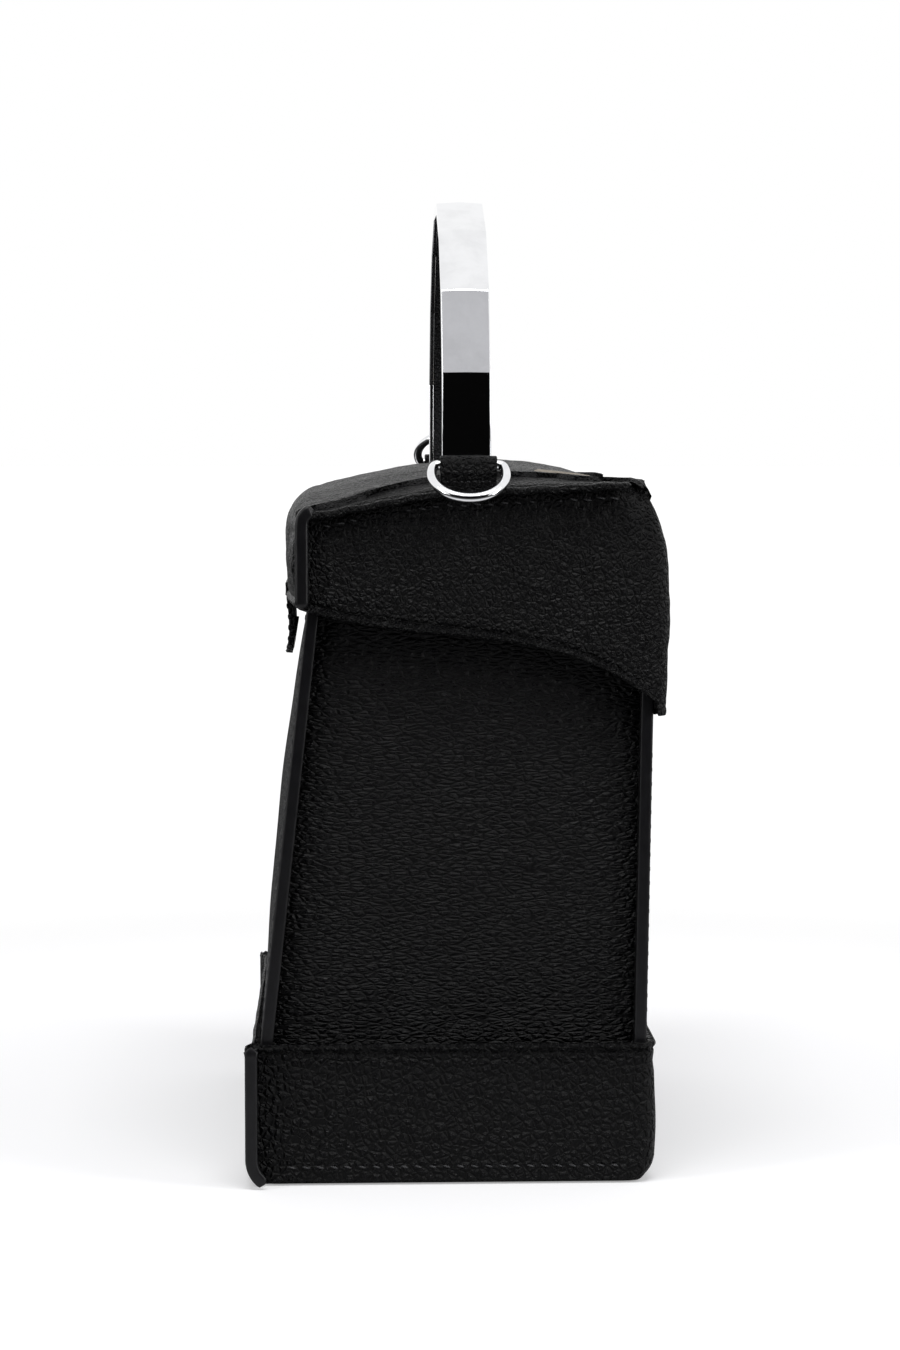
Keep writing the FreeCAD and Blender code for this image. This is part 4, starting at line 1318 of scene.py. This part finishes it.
@dataclass
class RingSet:
    """The D-ring and its folded leather loop at one end of the lid."""

    maker: Maker
    side: Side
    angle: float                      # of the ring above the horizontal, outwards
    bar: tuple[float, float] = (78.6, 206.3)
    wire: float = 1.35
    radius: float = 10.4
    offset: float = 4.3
    corner: float = 1.6
    width: float = 16.0
    leather: float = 1.25

    def ring(self) -> None:
        """The ring: a round wire along the bar, two rounded corners and the arc."""
        corner_y = math.sqrt((self.radius - self.corner) ** 2 - (self.offset - self.corner) ** 2)
        middle = np.array([self.corner, corner_y])
        out = math.atan2(corner_y, self.corner - self.offset)
        bend = np.linspace(math.pi, out, 10)
        first = np.stack([middle[0] + self.corner * np.cos(bend), middle[1] + self.corner * np.sin(bend)], -1)
        arc = np.linspace(out, -out, 64)[1:-1]
        around = np.stack([self.offset + self.radius * np.cos(arc), self.radius * np.sin(arc)], -1)
        bar = np.linspace(-corner_y, corner_y, 20)[1:-1]
        flat = np.concatenate([first, around, (first * [1, -1])[::-1], np.stack([0 * bar, bar], -1)])
        ahead = np.roll(flat, -1, 0) - np.roll(flat, 1, 0)
        ahead /= np.linalg.norm(ahead, axis=1, keepdims=True)
        normal = np.stack([ahead[:, 1], -ahead[:, 0]], -1)
        turn = math.radians(self.angle)
        lean = np.array([math.cos(turn), 0, math.sin(turn)])
        lift = np.array([-math.sin(turn), 0, math.cos(turn)])
        mirror = np.array([self.side.value, 1, 1])
        path = flat[:, :1] * lean + flat[:, 1:] * np.array([0, 1, 0]) + [self.bar[0], 0, self.bar[1]]
        across = normal[:, :1] * lean + normal[:, 1:] * np.array([0, 1, 0])
        up = np.tile(lift, (len(path), 1))
        points, faces = sweep(path, across, up, oval(2 * self.wire, 2 * self.wire, 2, 20), closed=True)
        points = points * mirror
        word = self.side.name.lower()
        body = Body.RING_RIGHT if self.side is Side.RIGHT else Body.RING_LEFT
        self.maker.piece(f"d_ring_chrome_{word}", [(points, outward(points, faces))],
                         self.maker.finishes.chrome, body,
                         "chrome_plate", [f"d_ring_{word}"])

    def loop(self) -> None:
        """The loop: a strap up from the seam, round the bar and down again, its fold slightly crumpled."""
        x0, z0 = self.bar
        outer = self.wire + 0.05 + self.leather
        foot = 197.2
        turn = np.radians(np.linspace(0, 180, 19))
        z = np.r_[np.linspace(foot, z0, 14)[:-1], z0 + outer * np.sin(turn),
                  np.linspace(z0, foot + 1.4, 12)[1:]]
        neck = np.clip((z0 - 2.0 - z) / 3.0, 0, 1) ** 0.7
        x = np.r_[np.full(13, outer), outer * np.cos(turn), np.full(11, -outer)]
        x = np.sign(x) * (np.abs(x) * (1 - neck) + np.minimum(np.abs(x), self.leather + 0.12) * neck)
        y = np.linspace(-self.width / 2, self.width / 2, 33)
        grid = np.stack(np.broadcast_arrays((x0 + x)[:, None], y[None], z[:, None]), -1).copy()
        crumple = ridged(grid * [1, 1, 0.5], 41 + self.side.value, 5.0, 0.10)
        grid[..., 0] += crumple * np.sign(x)[:, None]
        grid[..., 2] += crumple * 0.8
        points, faces = slab(grid, self.leather - 0.05, (1, 0, 1))
        points = points * [self.side.value, 1, 1]
        word = self.side.name.lower()
        self.maker.piece(f"ring_loop_leather_{word}", [(points, outward(points, faces))],
                         self.maker.finishes.hood,
                         Body.HOOD, "black_leather", [f"ring_loop_{word}"], 0.35, 60)
        row = np.stack([np.full(20, self.side.value * (x0 + self.leather + 0.12)), np.linspace(-7, 7, 20),
                        np.full(20, z0 - 4.6)], -1)
        self.maker.piece(f"ring_loop_stitches_{word}",
                         [self.maker.stitches(row, np.tile([self.side.value, 0, 0.0], (20, 1)), 1.9, 1.3,
                                              0.45)],
                         self.maker.finishes.thread, Body.HOOD, "black_leather")


@dataclass
class Interior:
    """Lining, mouth facing and slip pocket of the body."""

    maker: Maker
    half: float = 66.9
    wall: float = 3.05
    floor: float = 4.7
    rim: float = 154.0

    def loop(self, inset: float, z: Array) -> Array:
        """Rings of a rounded rectangle between the leaning walls.

        Args:
            inset: gap to the walls' inner faces.
            z: heights.
        Returns:
            One ring of points for each height.
        """
        t = np.linspace(0, 2 * np.pi, 160, endpoint=False)
        c, s = np.cos(t), np.sin(t)
        power = 2 / 14.0
        front = body_front(z) + self.wall + inset
        back = body_back(z) - self.wall - inset
        x = (self.half - inset) * np.sign(c) * np.abs(c) ** power
        y = np.sign(s) * np.abs(s) ** power
        ring_y = (front + back)[:, None] / 2 + (back - front)[:, None] / 2 * y[None]
        return np.stack(np.broadcast_arrays(x[None], ring_y, z[:, None]), -1)

    def build(self) -> None:
        """The lining with its slack, the facing above it and the pocket on the back."""
        finishes = self.maker.finishes
        z = np.linspace(self.rim - 0.1, self.floor + 1.2, 60)
        outer = self.loop(0.1, z)
        inner = self.loop(0.7, z)
        slack = ridged(inner, 51, 28, 0.5) + 0.35
        centre = np.array([0, -3.0, 0])
        push = (centre - inner) * [1, 1, 0]
        height_share = np.sin(np.pi * np.linspace(0, 1, len(z)))[:, None, None]
        inward = push / np.linalg.norm(push, axis=-1, keepdims=True)
        inner = inner + inward * np.clip(slack, 0, 1.2)[..., None] * height_share
        floor_out = self.loop(0.1, np.array([self.floor]))
        shrink = np.linspace(1, 0.02, 14)[:, None, None]
        middle = floor_out.mean(1, keepdims=True)
        under = (middle + (floor_out - middle) * shrink).reshape(-1, floor_out.shape[1], 3)
        cloth = np.array([0, 0, 0.75])
        floor_in = self.loop(0.9, np.array([self.floor + cloth[2]])) - cloth
        over = (middle + (floor_in - middle) * shrink).reshape(-1, floor_out.shape[1], 3) + cloth
        grid = np.concatenate([under[::-1], outer[::-1], inner, over])
        rows, cols = grid.shape[:2]
        points = grid.reshape(-1, 3)
        lids = np.stack([np.arange(cols - 2) * 0, np.arange(1, cols - 1), np.arange(2, cols),
                         np.arange(2, cols)], -1)
        faces = np.concatenate([quads(rows, cols, True), lids[:, ::-1], lids + (rows - 1) * cols])
        self.maker.piece("body_cloth_lining", [(points, outward(points, faces))], finishes.lining, Body.BAG,
                         "lining_cloth", ["body_lining"], 0.0, 50)
        z = np.array([154.05, 154.3, 158.0, 162.0, 166.0, 168.05, 168.05, 168.35, 168.65, 168.75, 168.5,
                      167.6, 166.0, 162.0, 158.0, 154.3, 154.05])
        inset = np.array([0.3, 0.1, 0.1, 0.1, 0.1, 0.1, -1.30, -1.42, -1.0, 0.2, 1.25, 1.7, 1.75, 1.75, 1.7,
                          1.6, 1.3])
        rings = np.concatenate([self.loop(i, np.array([h])) for i, h in zip(inset, z)])
        rows, cols = rings.shape[:2]
        faces = quads(rows, cols, True)
        close = quads(2, cols, True)
        faces = np.concatenate([faces, np.where(close >= cols, close - cols, close + (rows - 1) * cols)])
        points = rings.reshape(-1, 3)
        self.maker.piece("mouth_facing_leather", [(points, outward(points, faces))], finishes.body, Body.BAG,
                         "black_leather", ["mouth_facing"], 0.0, 60)
        line = self.loop(1.72, np.array([155.6]))[0]
        line = np.concatenate([line, line[:1]])
        inward = (centre - line) * [1, 1, 0]
        self.maker.piece("facing_stitches",
                         [self.maker.stitches(line, inward / np.linalg.norm(inward, axis=1, keepdims=True))],
                         finishes.thread, Body.BAG, "black_leather")
        low, high = (np.array(corner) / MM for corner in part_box("slip_pocket"))
        x = np.linspace(low[0], high[0], 45)
        height = np.linspace(low[2], high[2], 33)
        face = np.stack(np.broadcast_arrays(x[None], body_back(height[:, None]) - 4.75 + 0 * x[None],
                                            height[:, None]), -1).copy()
        gape = np.clip((height - low[2]) / (high[2] - low[2]), 0, 1)[:, None] ** 3
        face[..., 1] -= 0.3 + 1.4 * gape * np.clip(1 - (x[None] / 52) ** 4, 0, 1)
        self.maker.piece("pocket_cloth", [slab(face, 0.6, (0, -1, 0))], finishes.lining, Body.BAG,
                         "lining_cloth", ["slip_pocket"], 0.2)


@dataclass
class Studio:
    """Floor, plain soft light and camera."""

    position: tuple[float, float, float] = (0.9106, -0.0350, 0.2113)
    yaw: float = 2.053                # degrees towards the back
    pitch: float = 4.414              # degrees down
    lens: float = 78.7

    def camera(self) -> None:
        """The camera at its place, looking along -X."""
        data = bpy.data.cameras.new("camera")
        data.lens, data.sensor_width, data.clip_start = self.lens, 36.0, 0.01
        obj = bpy.data.objects.new("camera", data)
        obj.location = self.position
        obj.rotation_euler = (math.radians(90 - self.pitch), 0, math.radians(90 - self.yaw))
        bpy.context.scene.collection.objects.link(obj)
        bpy.context.scene.camera = obj

    def floor(self) -> None:
        """A wide pale floor that glows a little to the camera and still takes the shadow."""
        s = Shader(bpy.data.materials.new("pale_floor"))
        path = s.node("ShaderNodeLightPath")
        seen = Sock(s, path.outputs["Is Camera Ray"])
        place = s.place()
        reach = Sock(s, s.node("ShaderNodeVectorMath", {"operation": "LENGTH"}, {0: place}).outputs["Value"])
        far = reach.step(0.14, 0.55)
        colour = s.mix((far + s.noise(place, 60.0, 2.0) * 0.02).step(0.0, 1.0), (0.72, 0.72, 0.73),
                       (0.02, 0.02, 0.02))
        glow = s.mix(seen * (0.33 + far * 0.67), (0.0, 0.0, 0.0), (1.0, 1.0, 1.0))
        material = s.finish({"Base Color": colour, "Roughness": 0.75, "Specular IOR Level": 0.25,
                             "Emission Color": glow, "Emission Strength": 1.0})
        mesh = bpy.data.meshes.new("floor")
        mesh.from_pydata([(-30, -30, 0), (30, -30, 0), (30, 30, 0), (-30, 30, 0)], [], [(0, 1, 2, 3)])
        mesh.materials.append(material)
        obj = bpy.data.objects.new("floor", mesh)
        bpy.context.scene.collection.objects.link(obj)

    def flag(self, name: str, place: Sequence[float], half: Sequence[float], grey: float = 0.0) -> None:
        """A black or grey card beside the light, which only reflections and soft light meet.

        Args:
            name: of the card.
            place: its centre.
            half: half its width and height.
            grey: how bright it is.
        """
        s = Shader(bpy.data.materials.new(name))
        cloth = s.noise(s.place(), 300.0, 2.0)
        material = s.finish({"Base Color": s.mix(cloth, (0.003, 0.003, 0.003), (0.006, 0.006, 0.006)),
                             "Roughness": 0.95,
                             "Specular IOR Level": 0.0, "Emission Color": (grey, grey, 1.03 * grey, 1.0),
                             "Emission Strength": 1.0})
        x, y, z = place
        mesh = bpy.data.meshes.new(name)
        corners = [(x, y - half[0], z - half[1]), (x, y + half[0], z - half[1]),
                   (x, y + half[0], z + half[1]), (x, y - half[0], z + half[1])]
        mesh.from_pydata(corners, [], [(0, 1, 2, 3)])
        mesh.materials.append(material)
        obj = bpy.data.objects.new(name, mesh)
        obj.visible_camera = False
        bpy.context.scene.collection.objects.link(obj)

    def lamp(self, name: str, place: Sequence[float], turn: Sequence[float], size: Sequence[float],
             power: float) -> None:
        """A rectangular soft light.

        Args:
            name: of the lamp.
            place: its centre.
            turn: angle about each axis, in degrees.
            size: width and height.
            power: in watts.
        """
        data = bpy.data.lights.new(name, "AREA")
        data.shape, data.size, data.size_y, data.energy = "RECTANGLE", size[0], size[1], power
        obj = bpy.data.objects.new(name, data)
        obj.location = place
        obj.rotation_euler = [math.radians(a) for a in turn]
        bpy.context.scene.collection.objects.link(obj)

    def world(self) -> None:
        """White to the camera and to reflections, a soft grey for the light itself."""
        world = bpy.data.worlds.new("studio")
        s = Shader(world)
        path = s.node("ShaderNodeLightPath")
        seen = [Sock(s, path.outputs[name]) for name in ("Is Camera Ray", "Is Glossy Ray",
                                                         "Is Transmission Ray")]
        bright = (seen[0] + seen[1] + seen[2]).at_most(1.0)
        background = s.node("ShaderNodeBackground", None,
                            {"Color": s.mix(bright, (0.4, 0.4, 0.41), (1.0, 1.0, 1.0)), "Strength": 1.0})
        output = s.node("ShaderNodeOutputWorld")
        s.tree.links.new(background.outputs[0], output.inputs[0])
        bpy.context.scene.world = world

    def build(self) -> None:
        """Camera, floor, lights and colour handling."""
        self.camera()
        self.floor()
        self.world()
        self.flag("front_flag", (1.45, 0.0, 0.40), (1.3, 0.72))
        self.flag("front_grey_card", (1.45, 0.0, 1.75), (0.7, 0.62), 0.56)
        self.lamp("overhead", (0.45, 0.0, 1.30), (0, 19, 0), (0.45, 0.8), 9.5)
        self.lamp("left_strip", (0.55, -0.95, 0.55), (78, 0, 30), (0.22, 0.9), 3.2)
        self.lamp("right_strip", (0.50, 0.95, 0.45), (-80, 0, -28), (0.22, 0.9), 4.4)
        bpy.context.scene.view_settings.view_transform = "Standard"


def dress_nodes(finishes: Finishes) -> None:
    """Give the CAD nodes that stay their finishes: boards, clamp hardware and magnets.

    Args:
        finishes: every material.
    """
    chosen = {finishes.board: ["front_board", "back_board", "gusset_board_right", "gusset_board_left",
                               "lid_board"],
              finishes.steel: ["clamp_plates", "handle_studs", "stud_nuts"],
              finishes.magnet: ["tab_magnet", "body_magnet"]}
    for material, names in chosen.items():
        for name in names:
            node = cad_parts[name]
            node.data.materials.clear()
            node.data.materials.append(material)
            LOG.info("%s dressed in %s", name, material.name)


def main() -> None:
    """Build the bag piece by piece."""
    logging.basicConfig(level=logging.INFO, format="%(name)s: %(message)s")
    Studio().build()
    maker = Maker(Finishes())
    dress_nodes(maker.finishes)
    for assembly in (BodyShell(maker), BaseTray(maker), Hood(maker), HingeStrip(maker), ClosureTab(maker),
                     Handle(maker), Interior(maker)):
        assembly.build()
        LOG.info("%s built", type(assembly).__name__)
    for side, angle in ((Side.RIGHT, HANGING), (Side.LEFT, LEANING)):
        rings = RingSet(maker, side, angle)
        rings.ring()
        rings.loop()
    LOG.info("%d new pieces", len(maker.made))


if __name__ == "__main__":
    main()
